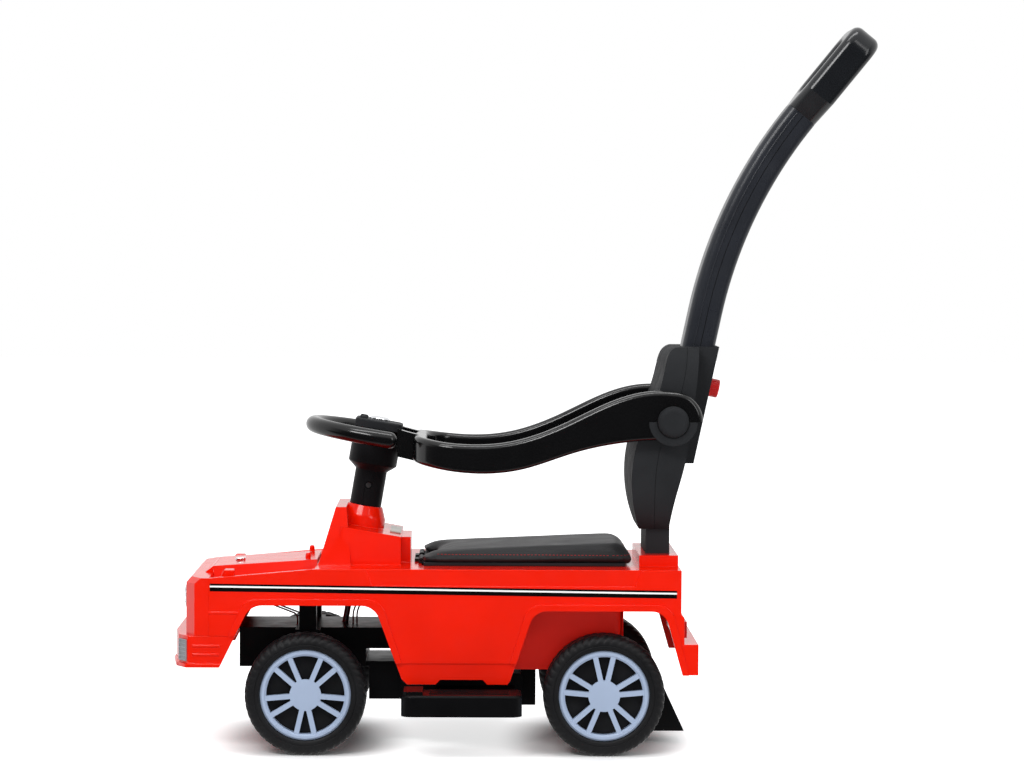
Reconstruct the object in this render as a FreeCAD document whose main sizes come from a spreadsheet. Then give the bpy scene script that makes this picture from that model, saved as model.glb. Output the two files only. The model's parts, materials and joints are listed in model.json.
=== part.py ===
import FreeCAD, Part
import math
import os

import Sketcher
from FreeCAD import Placement, Rotation, Vector

# Push car with handle: a boxy ride-on body with steered front wheels, a child guard,
# a backrest and a push handle.
# Frame: +X points to the rear of the car, +Y to its right side, +Z up, with the origin on the ground.

# Lengths in millimetres.
LENGTHS = {
    # Walls, clearances and cuts
    "shell_wall": 3.0,
    "running_clearance": 0.3,
    "overrun": 6.0,
    "overlap": 1.0,
    # Wheels
    "rear_axle_x": 99.0,
    "wheelbase": 378.0,
    "track": 233.0,
    "wheel_radius": 77.0,
    "wheel_width": 45.0,
    "tyre_shoulder": 8.0,
    "tyre_shoulder_drop": 2.5,
    "tyre_side_drop": 10.0,
    "tyre_side_width": 3.0,
    "tyre_wall": 2.0,
    "tread_groove_width": 4.0,
    "tread_groove_depth": 2.5,
    "rim_radius": 57.5,
    "rim_seat_gap": 0.5,
    "rim_ring": 8.0,
    "rim_ring_bevel": 2.5,
    "rim_recess": 2.0,
    "rim_disc_radius": 20.0,
    "rim_disc_wall": 3.5,
    "rim_disc_rise": 1.5,
    "spoke_width": 6.5,
    "spoke_depth": 7.0,
    "spoke_recess": 1.0,
    "web_face": 8.0,
    "web_wall": 3.0,
    "hub_radius": 14.0,
    "hub_proud": 3.0,
    "axle_radius": 6.0,
    "axle_cap_radius": 9.5,
    "axle_cap_length": 3.5,
    # Steering linkage
    "kingpin_inset": 22.0,
    "kingpin_radius": 4.0,
    "kingpin_head": 2.5,
    "knuckle_radius": 10.0,
    "knuckle_rise": 26.0,
    "knuckle_drop": 24.0,
    "clevis_plate": 6.0,
    "steering_arm_length": 24.0,
    "steering_arm_width": 13.0,
    "steering_arm_height": 6.0,
    "steering_arm_lift": 2.0,
    "tie_rod_height": 5.0,
    "tie_peg_radius": 2.7,
    "crank_peg_play": 0.8,
    # Body shell
    "body_width": 276.0,
    "deck_rise": 46.0,
    "front_overhang": 122.0,
    "rear_overhang": 97.0,
    "fender_base_rise": 14.0,
    "fender_ridge": 8.0,
    "valley_depth": 7.0,
    "valley_slope": 3.0,
    "bulge_half_width": 61.0,
    "bulge_slope": 4.0,
    "hood_step": 8.0,
    "hood_rear_rise": 5.0,
    "belt_front_reach": 19.5,
    "belt_rear_reach": 46.0,
    "belt_slant": 8.0,
    "belt_band": 21.0,
    "belt_inset": 2.0,
    "sill_height": 118.0,
    "skirt_height": 91.0,
    "skirt_corner": 7.0,
    "skirt_notch_inset": 36.0,
    "skirt_notch_depth": 6.0,
    "arch_lip": 8.0,
    "arch_lip_proud": 3.0,
    "front_arch_gap": 37.0,
    "front_arch_lead_low": 107.0,
    "front_arch_lead_high": 69.5,
    "front_arch_lead_height": 115.0,
    "front_arch_trail_high": 87.0,
    "front_arch_trail_low": 121.5,
    "front_arch_trail_height": 98.0,
    "front_arch_radius": 24.0,
    "rear_arch_gap": 31.0,
    "rear_arch_lead_low": 119.0,
    "rear_arch_lead_high": 89.0,
    "rear_arch_lead_height": 96.0,
    "rear_arch_trail_high": 76.0,
    "rear_arch_trail_low": 99.0,
    "rear_arch_radius": 22.0,
    "door_top": 184.0,
    "door_recess": 2.0,
    "fender_rib_height": 180.0,
    "fender_rib_thick": 2.5,
    "fender_rib_proud": 1.5,
    "tail_step": 4.0,
    "tail_step_height": 181.0,
    "rear_bumper_top": 143.0,
    "rear_bumper_bottom": 104.0,
    "rear_bumper_depth": 22.0,
    # Cowl tower, dash and steering boss
    "cowl_offset": 11.0,
    "cowl_base_depth": 45.0,
    "cowl_base_half": 90.0,
    "cowl_top_offset": 24.0,
    "cowl_top_depth": 13.5,
    "cowl_top_half": 68.0,
    "cowl_rise": 73.0,
    "dash_depth": 63.0,
    "dash_half": 80.0,
    "dash_front_rise": 49.0,
    "dash_rear_rise": 36.0,
    "dash_nose": 12.0,
    "dash_nose_half": 46.0,
    "dash_nose_drop": 3.0,
    "steering_offset": 59.0,
    "boss_root": 20.0,
    "boss_length": 72.0,
    "boss_radius": 29.0,
    "boss_top_radius": 22.5,
    "boss_shoulder": 16.0,
    "bush_bore": 12.0,
    "steering_bush_length": 26.0,
    # Rear socket
    "socket_front": 46.0,
    "socket_depth": 50.0,
    "socket_half": 85.0,
    "socket_rise": 14.0,
    # Front fascia, bumper and lamps
    "bumper_top": 152.0,
    "fascia_inset": 1.0,
    "fascia_brow": 7.0,
    "fascia_depth": 30.0,
    "fascia_corner": 18.0,
    "fascia_bevel_half": 114.0,
    "fascia_chamfer": 7.0,
    "nose_length": 12.0,
    "nose_drop": 9.0,
    "grille_half": 60.0,
    "grille_low_gap": 11.0,
    "grille_high_gap": 12.0,
    "grille_frame": 5.0,
    "grille_bar": 6.0,
    "grille_bar_depth": 4.0,
    "grille_back": 2.0,
    "grille_setback": 3.0,
    "lamp_offset": 89.0,
    "lamp_rise": 46.0,
    "lamp_radius": 20.0,
    "lamp_depth": 18.0,
    "lamp_wall": 1.5,
    "lens_wall": 2.0,
    "lens_dome": 5.0,
    "lens_flange": 1.5,
    "bumper_bottom": 112.0,
    "bumper_depth": 50.0,
    "bumper_corner": 26.0,
    "bumper_bevel_depth": 39.0,
    "bumper_bevel_half": 117.0,
    "bumper_nose_half": 62.0,
    "bumper_lip": 3.0,
    "bumper_lip_height": 5.0,
    "bumper_rib_height": 138.0,
    "bumper_rib_pitch": 11.0,
    "vent_margin": 3.0,
    "vent_bottom": 120.0,
    "vent_top": 147.0,
    "vent_plate": 2.5,
    "vent_slat": 1.5,
    "cap_edge_gap": 17.0,
    "cap_width": 20.0,
    "cap_setback": 10.0,
    "cap_length": 20.0,
    "cap_slant": 7.0,
    "cap_height": 14.0,
    "badge_setback": 24.0,
    "badge_length": 13.0,
    "badge_width": 16.0,
    "badge_thick": 3.0,
    "peg_offset": 52.0,
    "peg_setback": 12.0,
    "peg_radius": 3.5,
    "peg_rise": 8.0,
    "panel_depth": 14.0,
    "panel_half": 38.0,
    "panel_thick": 2.0,
    "tail_lamp_offset": 110.0,
    "tail_lamp_width": 30.0,
    "tail_lamp_bottom": 150.0,
    "tail_lamp_height": 21.0,
    "tail_lamp_proud": 4.0,
    # Tub and seat
    "tub_wheel_gap": 9.0,
    "tub_bottom": 104.0,
    "tub_wall": 3.0,
    "tub_flange": 9.0,
    "tub_front_gap": 12.0,
    "tub_rear_gap": 19.0,
    "tub_corner": 12.0,
    "seat_width": 196.0,
    "seat_front_gap": 10.0,
    "seat_rear_gap": 12.0,
    "lid_thick": 4.0,
    "hinge_radius": 3.5,
    "hinge_pin_radius": 1.5,
    "hinge_leaf": 1.0,
    "hinge_leaf_reach": 5.0,
    "hinge_half": 62.0,
    "hinge_knuckle": 24.0,
    "cushion_front_height": 15.0,
    "cushion_rear_height": 25.0,
    "cushion_draw": 6.0,
    "cushion_seam_height": 12.0,
    "cushion_notch_depth": 16.0,
    "cushion_notch_half": 42.0,
    "cushion_corner": 24.0,
    # Chassis
    "chassis_half_gap": 12.0,
    "chassis_top": 154.0,
    "chassis_wall": 4.0,
    "beam_bottom": 127.0,
    "beam_step": 74.0,
    "axle_beam_half_length": 16.0,
    "axle_beam_end": 12.0,
    "tower_length": 22.0,
    "tower_inner": 62.0,
    "tower_width": 17.0,
    "web_inner": 20.0,
    "web_outer": 50.0,
    "bracket_front": 78.0,
    "bracket_half": 55.0,
    "bracket_top": 110.0,
    "tray_front": 121.0,
    "tray_block": 34.0,
    "tray_rear": 275.0,
    "tray_half": 78.0,
    "tray_bottom": 60.0,
    "tray_top": 97.0,
    "rear_post_length": 18.0,
    "rear_post_half": 50.0,
    "rear_post_bottom": 53.0,
    "slot_margin": 10.0,
    # Footrests
    "footrest_top": 86.0,
    "footrest_thick": 27.0,
    "footrest_outer": 200.0,
    "footrest_gap": 2.0,
    "footrest_front": 122.0,
    "footrest_rear": 273.0,
    "footrest_corner": 14.0,
    "footrest_round": 4.0,
    "footrest_travel": 58.0,
    "tongue_inner": 2.0,
    "tongue_height": 14.0,
    "tongue_lift": 8.0,
    "step_block_length": 27.0,
    "step_block_rise": 4.0,
    "step_block_inset": 3.0,
    "tread_rib": 3.0,
    "tread_rib_rise": 1.2,
    "tread_rib_margin": 16.0,
    # Rear axle bracket and skid
    "axle_bracket_half_length": 29.0,
    "axle_bracket_drop": 16.0,
    "axle_bracket_leg": 20.0,
    "axle_bracket_plate": 7.0,
    "axle_spacer_length": 17.0,
    "axle_spacer_wall": 3.0,
    "skid_half": 30.0,
    "skid_run": 24.0,
    "skid_back": 84.0,
    "skid_tip": 109.0,
    "skid_toe": 69.0,
    "skid_knee_height": 70.0,
    "skid_ground": 16.5,
    "skid_wall": 8.0,
    # Steering wheel
    "column_radius": 20.5,
    "column_wall": 4.0,
    "cup_start": 118.0,
    "cup_radius": 31.5,
    "cup_flare": 9.0,
    "cup_length": 38.0,
    "shaft_radius": 4.0,
    "shaft_top": 150.0,
    "screw_station": 99.0,
    "screw_head_radius": 3.4,
    "screw_head_height": 2.0,
    "screw_recess": 1.5,
    "screw_play": 1.6,
    "screw_length": 14.0,
    "wheel_station": 165.0,
    "wheel_ring_radius": 83.5,
    "wheel_ring_thick": 10.5,
    "wheel_spoke_width": 22.0,
    "wheel_spoke_thick": 9.0,
    "pad_station": 173.0,
    "pad_length": 62.0,
    "pad_width": 54.0,
    "pad_height": 11.0,
    "pad_round": 10.0,
    "horn_radius": 13.0,
    "horn_rise": 4.5,
    "horn_root": 6.0,
    "horn_travel": 2.5,
    "music_radius": 5.5,
    "music_rise": 3.0,
    "music_root": 6.0,
    "music_forward": 21.0,
    "music_offset": 15.0,
    "button_clearance": 0.4,
    # Backrest
    "backrest_front": 35.0,
    "backrest_depth": 96.0,
    "backrest_rise": 46.0,
    "backrest_height": 234.0,
    "backrest_width": 200.0,
    "backrest_seam_gap": 0.4,
    "backrest_wall": 3.0,
    "stem_front": 56.0,
    "stem_depth": 30.0,
    "stem_half": 60.0,
    "stem_drop": 22.0,
    "stem_clearance": 0.4,
    "sleeve_half": 38.0,
    "sleeve_wall": 4.0,
    "sleeve_rise": 129.0,
    "sleeve_clearance": 0.6,
    "pivot_x": 86.0,
    "pivot_rise": 187.0,
    "pivot_radius": 20.0,
    "pivot_length": 29.0,
    "pivot_dome": 7.0,
    # Child guard
    "guard_side_gap": 3.5,
    "guard_thick": 18.0,
    "guard_front_gap": 47.0,
    "guard_front_radius": 56.0,
    "guard_top_drop": 38.0,
    "guard_height": 105.0,
    "guard_eye_radius": 38.0,
    "guard_clip_radius": 31.0,
    "guard_prong_reach": 20.0,
    "guard_prong_inner": 34.0,
    "guard_prong_width": 16.0,
    "guard_round": 7.0,
    # Push handle
    "handle_foot_rise": 137.0,
    "handle_axis_x": 134.0,
    "handle_bend_rise": 324.0,
    "handle_width": 58.0,
    "handle_depth": 42.0,
    "handle_round": 11.0,
    "handle_bend_radius": 607.0,
    "handle_wall": 3.5,
    "plug_length": 130.0,
    "grip_length": 134.3,
    "grip_width": 112.0,
    "grip_bar": 26.0,
    "grip_corner": 30.0,
    "grip_hole_round": 10.0,
    # Release button
    "button_station": 95.0,
    "button_radius": 12.0,
    "button_proud": 14.0,
    "button_travel": 4.0,
    "button_well": 2.0,
    "button_wall": 4.0,
    # Lamp supply
    "cell_box_front": 16.0,
    "cell_box_length": 60.0,
    "cell_box_half": 30.0,
    "cell_box_height": 35.0,
    "cell_box_wall": 2.0,
    "cell_lid": 2.0,
    "cell_radius": 7.2,
    "cell_length": 50.0,
    "cell_play": 0.5,
    "wire_radius": 1.1,
    "lamp_wire_front": -60.0,
    "lamp_wire_run": 44.0,
    "lamp_wire_pitch": 10.0,
    "lamp_wire_y": -22.0,
    "dash_wire_x": 70.0,
    "dash_wire_run": -14.0,
    "dash_wire_pitch": 5.0,
    "dash_wire_y": -18.0,
}

# Angles in degrees.
ANGLES = {
    "steering_tilt": 9.5,
    "spoke_half_angle": 13.0,
    "front_wheel_turn_angle": 36.0,
    "wheel_gap_angle": 78.0,
    "handle_lean": 12.0,
    "handle_bend_angle": 27.0,
}

COUNTS = {
    "spoke_pair_count": 5,
    "grille_bar_count": 4,
    "vent_slat_count": 5,
    "tread_rib_count": 4,
    "cell_count": 3,
}

# Shares of a size, without a unit.
LENS_SHOULDER_SHARE = 0.8
LENS_INNER_SHARE = 0.6
PEG_SIDE_SHARE = 0.7
PEG_TOP_SHARE = 0.6
KINGPIN_HEAD_SHARE = 1.6
BUTTON_TOP_SHARE = 0.75
WIRE_DROP_SHARE = 0.3
WIRE_BEND_SHARE = 0.45

doc = FreeCAD.newDocument("push_car")
nodes = {}


class Size:
    """A value of the sheet, or one worked out from several, with the expression that gives it."""

    def __init__(self, value, text):
        self.value = float(value)
        self.text = text

    def __add__(self, other):
        return Size(self.value + number(other), "(%s + %s)" % (self.text, words(other)))

    def __sub__(self, other):
        return Size(self.value - number(other), "(%s - %s)" % (self.text, words(other)))

    def __mul__(self, other):
        return Size(self.value * number(other), "(%s * %s)" % (self.text, words(other)))

    def __truediv__(self, other):
        return Size(self.value / number(other), "(%s / %s)" % (self.text, words(other)))

    def __neg__(self):
        return Size(-self.value, "(0 - %s)" % self.text)


def number(item):
    return item.value if isinstance(item, Size) else float(item)


def words(item):
    return item.text if isinstance(item, Size) else repr(float(item))


def sine(angle):
    return Size(math.sin(math.radians(angle.value)), "sin(%s)" % angle.text)


def cosine(angle):
    return Size(math.cos(math.radians(angle.value)), "cos(%s)" % angle.text)


def vector(x, y, z):
    return Vector(number(x), number(y), number(z))


class Dimensions:
    """The driving dimensions by name, as sheet values."""


def write_sheet():
    sheet = doc.addObject("Spreadsheet::Sheet", "Sizes")
    row = 1
    for group in (LENGTHS, ANGLES, COUNTS):
        for name, value in group.items():
            sheet.set("A%d" % row, name)
            sheet.set("B%d" % row, repr(value))
            sheet.setAlias("B%d" % row, name)
            setattr(Dimensions, name, Size(value, "Sizes." + name))
            row += 1
    doc.recompute()


write_sheet()
dim = Dimensions
ZERO = Size(0, "0")

# Places that several pieces share
front_arch_top = dim.wheel_radius * 2 + dim.front_arch_gap
rear_arch_top = dim.wheel_radius * 2 + dim.rear_arch_gap
deck_z = front_arch_top + dim.deck_rise
fender_base_z = front_arch_top + dim.fender_base_rise
hood_rear_z = deck_z + dim.hood_rear_rise
cowl_z = deck_z + dim.cowl_rise
dash_front_z = deck_z + dim.dash_front_rise
dash_rear_z = deck_z + dim.dash_rear_rise
front_axle_x = dim.rear_axle_x - dim.wheelbase
axle_z = dim.wheel_radius
wheel_y = dim.track / 2
wheel_inner_y = wheel_y - dim.wheel_width / 2
kingpin_y = wheel_inner_y - dim.kingpin_inset
half_width = dim.body_width / 2
valley_half = half_width - dim.fender_ridge - dim.valley_slope
inner_half = half_width - dim.belt_inset - dim.shell_wall
seam_x = front_axle_x - dim.front_overhang
rear_x = dim.rear_axle_x + dim.rear_overhang
cowl_x = front_axle_x + dim.cowl_offset
cowl_rear_x = cowl_x + dim.cowl_base_depth
dash_rear_x = cowl_rear_x + dim.dash_depth
dash_nose_x = dash_rear_x + dim.dash_nose
steering_x = front_axle_x + dim.steering_offset
socket_x = dim.rear_axle_x + dim.socket_front
seat_front_x = dash_nose_x + dim.seat_front_gap
seat_rear_x = socket_x - dim.seat_rear_gap
tub_front_x = dash_nose_x + dim.tub_front_gap
tub_rear_x = socket_x - dim.tub_rear_gap
tub_half = wheel_inner_y - dim.tub_wheel_gap
deck_under = deck_z - dim.shell_wall
pivot_x = dim.rear_axle_x + dim.pivot_x
arm_z = axle_z + dim.steering_arm_lift
tie_rod_z = arm_z + dim.steering_arm_height + dim.running_clearance
crank_z = tie_rod_z + dim.tie_rod_height + dim.running_clearance
clevis_top_z = axle_z + dim.knuckle_rise + dim.running_clearance
clevis_low_z = axle_z - dim.knuckle_drop - dim.running_clearance
chassis_half = kingpin_y - dim.chassis_half_gap
dash_front_x = cowl_x + dim.cowl_top_offset + dim.cowl_top_depth - dim.overrun
lamp_z = dim.bumper_top + dim.lamp_rise
fascia_top = lamp_z + dim.lamp_radius + dim.fascia_brow
hood_front_z = fascia_top + dim.hood_step
grille_low_z = dim.bumper_top + dim.grille_low_gap
grille_high_z = fascia_top - dim.grille_high_gap
valley_front = fascia_top - dim.valley_depth
valley_rear = deck_z - dim.valley_depth
bumper_front_x = seam_x - dim.bumper_depth
fascia_front_x = seam_x - dim.fascia_depth
wheel_bore = dim.axle_radius + dim.running_clearance
hub_face = dim.web_face + dim.hub_proud
axle_end = hub_face + dim.axle_cap_length
sleeve_x = dim.rear_axle_x + dim.handle_axis_x
backrest_low_z = deck_z + dim.backrest_rise
stem_low_z = deck_z - dim.stem_drop
sleeve_low_z = deck_z + dim.sleeve_rise
pivot_z = deck_z + dim.pivot_rise
handle_foot_z = deck_z + dim.handle_foot_rise
handle_bend_z = deck_z + dim.handle_bend_rise


# Helpers that make and bind document objects
def bind(item, prop, size):
    item.setExpression(prop, words(size))


def new_body(label):
    body = doc.addObject("PartDesign::Body", label)
    body.Label = label
    return body


def keep(label, item):
    """Register a finished sub-part under the name of its file."""
    item.Label = label
    nodes[label] = item
    return item


def attach(body, role, offset=ZERO, at=None, turn=None):
    """A new sketch on an origin plane of its body, moved by sheet values."""
    sketch = body.newObject("Sketcher::SketchObject", body.Label + "_sketch")
    plane = [item for item in body.Origin.OriginFeatures if item.Role == role][0]
    sketch.AttachmentSupport = (plane, [""])
    sketch.MapMode = "FlatFace"
    bind(sketch, "AttachmentOffset.Base.z", offset)
    if at:
        bind(sketch, "AttachmentOffset.Base.x", at[0])
        bind(sketch, "AttachmentOffset.Base.y", at[1])
    if turn:
        bind(sketch, "AttachmentOffset.Rotation.Angle", turn)
    return sketch


def pin_point(sketch, line, end, point):
    for kind, size in (("DistanceX", point[0]), ("DistanceY", point[1])):
        index = sketch.addConstraint(Sketcher.Constraint(kind, -1, 1, line, end, number(size)))
        bind(sketch, "Constraints[%d]" % index, size)


def add_polygon(sketch, points):
    """Closed straight-sided outline whose corners are pinned to the sheet."""
    first = sketch.GeometryCount
    total = len(points)
    places = [vector(point[0], point[1], 0) for point in points]
    for index in range(total):
        sketch.addGeometry(Part.LineSegment(places[index], places[(index + 1) % total]), False)
    for index in range(total):
        after = first + (index + 1) % total
        sketch.addConstraint(Sketcher.Constraint("Coincident", first + index, 2, after, 1))
    for index in range(total):
        pin_point(sketch, first + index, 1, points[index])


def add_circle(sketch, centre, radius):
    place = vector(centre[0], centre[1], 0)
    line = sketch.addGeometry(Part.Circle(place, Vector(0, 0, 1), number(radius)), False)
    pin_point(sketch, line, 3, centre)
    index = sketch.addConstraint(Sketcher.Constraint("Radius", line, number(radius)))
    bind(sketch, "Constraints[%d]" % index, radius)


def outline(body, role, points, offset=ZERO, at=None, turn=None):
    sketch = attach(body, role, offset, at, turn)
    add_polygon(sketch, points)
    return sketch


def extrude(kind, body, sketch, length, both_ways, backwards):
    feature = body.newObject("PartDesign::" + kind, body.Label + "_" + kind.lower())
    feature.Profile = sketch
    bind(feature, "Length", length)
    feature.SideType = "Symmetric" if both_ways else "One side"
    feature.Reversed = backwards
    return feature


def pad(body, sketch, length, both_ways=False, backwards=False):
    return extrude("Pad", body, sketch, length, both_ways, backwards)


def pocket(body, sketch, length, both_ways=False, backwards=False):
    return extrude("Pocket", body, sketch, length, both_ways, backwards)


def revolve(kind, body, sketch, axis="V_Axis"):
    feature = body.newObject("PartDesign::" + kind, body.Label + "_" + kind.lower())
    feature.Profile = sketch
    feature.ReferenceAxis = (sketch, [axis])
    feature.Angle = 360
    return feature


def loft(body, first, second):
    feature = body.newObject("PartDesign::AdditiveLoft", body.Label + "_loft")
    feature.Profile = first
    feature.Sections = [second]
    feature.Ruled = True
    return feature


def near(one, other):
    return abs(one - number(other)) < 1e-4


def along_y(points):
    """Test for edges that run across the car through one of the (x, z) points."""
    def test(edge):
        ends = [vertex.Point for vertex in edge.Vertexes]
        if len(ends) != 2:
            return False
        return any(all(near(end.x, x) and near(end.z, z) for end in ends) for x, z in points)
    return test


def along_z(points):
    """Test for upright edges through one of the (x, y) points."""
    def test(edge):
        ends = [vertex.Point for vertex in edge.Vertexes]
        if len(ends) != 2:
            return False
        return any(all(near(end.x, x) and near(end.y, y) for end in ends) for x, y in points)
    return test


def on_plane(axis, size):
    """Test for edges that lie in the plane where the axis has this value."""
    def test(edge):
        return all(near(getattr(vertex.Point, axis), size) for vertex in edge.Vertexes)
    return test


def soften(kind, body, radius, test):
    """Round or bevel the picked edges of the body's last feature."""
    doc.recompute()
    base = body.Tip
    names = ["Edge%d" % (index + 1) for index, edge in enumerate(base.Shape.Edges) if test(edge)]
    feature = body.newObject("PartDesign::" + kind, body.Label + "_" + kind.lower())
    feature.Base = (base, names)
    bind(feature, "Radius" if kind == "Fillet" else "Size", radius)
    return feature


def mirrored_half(points):
    """Outline that is the same on both sides of the centre line, from the points of its right half."""
    return points + [(x, -y) for x, y in reversed(points)]


def between(low, high, height):
    """The x of a slanted edge at a height."""
    return low[0] + (high[0] - low[0]) * ((height - low[1]) / (high[1] - low[1]))


def place(item, x, y, z):
    for name, size in (("x", x), ("y", y), ("z", z)):
        bind(item, "Placement.Base." + name, size)
    return item


ALONG_X = Rotation(Vector(0, 1, 0), 90)
ALONG_Y = Rotation(Vector(1, 0, 0), -90)
UPRIGHT = Rotation()


def cylinder(label, radius, length, at, turn=UPRIGHT):
    item = doc.addObject("Part::Cylinder", label)
    bind(item, "Radius", radius)
    bind(item, "Height", length)
    item.Placement = Placement(Vector(), turn)
    return place(item, *at)


def box(label, low, high):
    item = doc.addObject("Part::Box", label)
    bind(item, "Length", high[0] - low[0])
    bind(item, "Width", high[1] - low[1])
    bind(item, "Height", high[2] - low[2])
    return place(item, *low)


def cut(label, base, tool):
    item = doc.addObject("Part::Cut", label)
    item.Base = base
    item.Tool = tool
    return item


def fuse(label, pieces):
    item = doc.addObject("Part::MultiFuse", label)
    item.Shapes = pieces
    item.Refine = True
    return item


def group(label, pieces):
    item = doc.addObject("Part::Compound", label)
    item.Links = pieces
    return item


def mirror(item):
    """A copy on the other side of the car."""
    copy = doc.addObject("Part::Mirroring", item.Label + "_mirror")
    copy.Source = item
    copy.Normal = Vector(0, 1, 0)
    return copy


def tube(label, outer, inner, length, at, turn=UPRIGHT):
    return cut(label, cylinder(label + "_outside", outer, length, at, turn),
               cylinder(label + "_bore", inner, length, at, turn))


def solid(label, shape):
    """A sub-part whose free form is worked out from sheet values."""
    item = doc.addObject("Part::Feature", label)
    item.Shape = shape
    return item


def shares_to_points(shares, low_x, low_z, width, height):
    return [Vector(low_x + share[0] * width, 0, low_z + share[1] * height) for share in shares]


def smooth_edge(points):
    curve = Part.BSplineCurve()
    curve.interpolate(points)
    return curve.toShape()


def on_steering_axis(item):
    """Stand a piece that was built upright on the tilted steering axis."""
    item.Placement = Placement(Vector(), Rotation(Vector(0, 1, 0), dim.steering_tilt.value))
    bind(item, "Placement.Rotation.Angle", dim.steering_tilt)
    return place(item, steering_x, ZERO, deck_z)


# Wheel arches as slanted legs under a level top
def front_arch():
    return [
        (front_axle_x - dim.front_arch_lead_low, dim.front_arch_lead_height),
        (front_axle_x - dim.front_arch_lead_high, front_arch_top),
        (front_axle_x + dim.front_arch_trail_high, front_arch_top),
        (front_axle_x + dim.front_arch_trail_low, dim.front_arch_trail_height),
    ]


def rear_arch():
    return [
        (dim.rear_axle_x - dim.rear_arch_lead_low, dim.rear_arch_lead_height),
        (dim.rear_axle_x - dim.rear_arch_lead_high, rear_arch_top),
        (dim.rear_axle_x + dim.rear_arch_trail_high, rear_arch_top),
        (dim.rear_axle_x + dim.rear_arch_trail_low, dim.rear_bumper_bottom),
    ]


def arch_cut(arch, lead_height, trail_height):
    """The arch's corners from the trailing foot round to the leading foot."""
    return [
        (between(arch[3], arch[2], trail_height), trail_height),
        arch[2],
        arch[1],
        (between(arch[0], arch[1], lead_height), lead_height),
    ]


def arch_band(corners):
    """The flared band round an arch, as wide as the lip."""
    lip = dim.arch_lip
    outside = [
        (corners[3][0] - lip, corners[3][1]),
        (corners[2][0] - lip, corners[2][1] + lip),
        (corners[1][0] + lip, corners[1][1] + lip),
        (corners[0][0] + lip, corners[0][1]),
    ]
    return corners + outside


def body_sides(body):
    """Side walls with both arches, the belt recess and the stepped tail."""
    bumper_x = rear_x + dim.rear_bumper_depth
    step_x = rear_x + dim.tail_step
    belt_front = cowl_rear_x + dim.belt_front_reach
    belt_rear = dim.rear_axle_x + dim.belt_rear_reach
    belt_low = deck_z - dim.belt_band
    rear_cut = arch_cut(rear_arch(), dim.sill_height, dim.rear_bumper_bottom)
    front_cut = arch_cut(front_arch(), dim.bumper_top, dim.sill_height)
    points = [
        (seam_x, dim.bumper_top),
        (seam_x, fender_base_z),
        (cowl_x, fender_base_z),
        (cowl_x, deck_z),
        (belt_front, deck_z),
        (belt_front + dim.belt_slant, belt_low),
        (belt_rear - dim.belt_slant, belt_low),
        (belt_rear, deck_z),
        (rear_x, deck_z),
        (rear_x, dim.tail_step_height),
        (step_x, dim.tail_step_height - dim.tail_step),
        (step_x, dim.rear_bumper_top),
        (bumper_x, dim.rear_bumper_top),
        (bumper_x, dim.rear_bumper_bottom),
    ] + rear_cut + front_cut
    pad(body, outline(body, "XZ_Plane", points), dim.body_width, True)
    filler = [
        (belt_front, belt_low - dim.overlap),
        (belt_front, deck_z),
        (belt_rear, deck_z),
        (belt_rear, belt_low - dim.overlap),
    ]
    pad(body, outline(body, "XZ_Plane", filler), dim.body_width - dim.belt_inset * 2, True)
    proud = dim.body_width + dim.arch_lip_proud * 2
    pad(body, outline(body, "XZ_Plane", arch_band(rear_cut)), proud, True)
    pad(body, outline(body, "XZ_Plane", arch_band(front_cut)), proud, True)
    soften("Fillet", body, dim.front_arch_radius, along_y(front_cut[1:3]))
    soften("Fillet", body, dim.rear_arch_radius, along_y(rear_cut[1:3]))
    soften("Fillet", body, dim.front_arch_radius, along_y(arch_band(front_cut)[5:7]))
    soften("Fillet", body, dim.rear_arch_radius, along_y(arch_band(rear_cut)[5:7]))


def body_sill(body):
    """Tucked-in skirt under the doors, with a shallow notch over the footrest."""
    front = arch_cut(front_arch(), dim.bumper_top, dim.sill_height)[0]
    rear = arch_cut(rear_arch(), dim.sill_height, dim.rear_bumper_bottom)[3]
    front_foot = front_arch()[3]
    rear_foot = rear_arch()[0]
    corner = dim.skirt_corner
    notch_front = front_foot[0] + dim.skirt_notch_inset + corner
    notch_rear = rear_foot[0] - dim.skirt_notch_inset + corner
    notch_top = dim.skirt_height + dim.skirt_notch_depth
    rise = dim.sill_height + dim.overrun
    points = [
        (front[0] + corner, rise),
        front,
        (front_foot[0], dim.skirt_height + corner),
        (front_foot[0] + corner, dim.skirt_height),
        (notch_front, dim.skirt_height),
        (notch_front + dim.skirt_notch_depth, notch_top),
        (notch_rear - dim.skirt_notch_depth, notch_top),
        (notch_rear, dim.skirt_height),
        (rear_foot[0] - corner / 2, dim.skirt_height),
        rear_foot,
        rear,
        (rear[0] - corner, rise),
    ]
    pad(body, outline(body, "XZ_Plane", points), dim.body_width - dim.belt_inset * 2, True)
    rib_x = arch_cut(front_arch(), dim.fender_rib_height, dim.sill_height)[3][0]
    rib = [
        (seam_x, dim.fender_rib_height),
        (seam_x, dim.fender_rib_height + dim.fender_rib_thick),
        (rib_x - dim.overlap, dim.fender_rib_height + dim.fender_rib_thick),
        (rib_x - dim.overlap, dim.fender_rib_height),
    ]
    pad(body, outline(body, "XZ_Plane", rib), dim.body_width + dim.fender_rib_proud * 2, True)


def body_doors(body):
    """Shallow door panels between the arch bands, on both sides."""
    lip = dim.arch_lip
    front = front_arch()
    rear = rear_arch()
    low = dim.sill_height
    high = dim.door_top
    points = [
        (between(front[3], front[2], low) + lip, low),
        (between(front[3], front[2], high) + lip, high),
        (between(rear[0], rear[1], high) - lip, high),
        (between(rear[0], rear[1], low) - lip, low),
    ]
    depth = dim.door_recess + dim.overrun
    right = outline(body, "XZ_Plane", points, -half_width - dim.overrun)
    pocket(body, right, depth)
    left = outline(body, "XZ_Plane", points, half_width + dim.overrun)
    pocket(body, left, depth, False, True)


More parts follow.
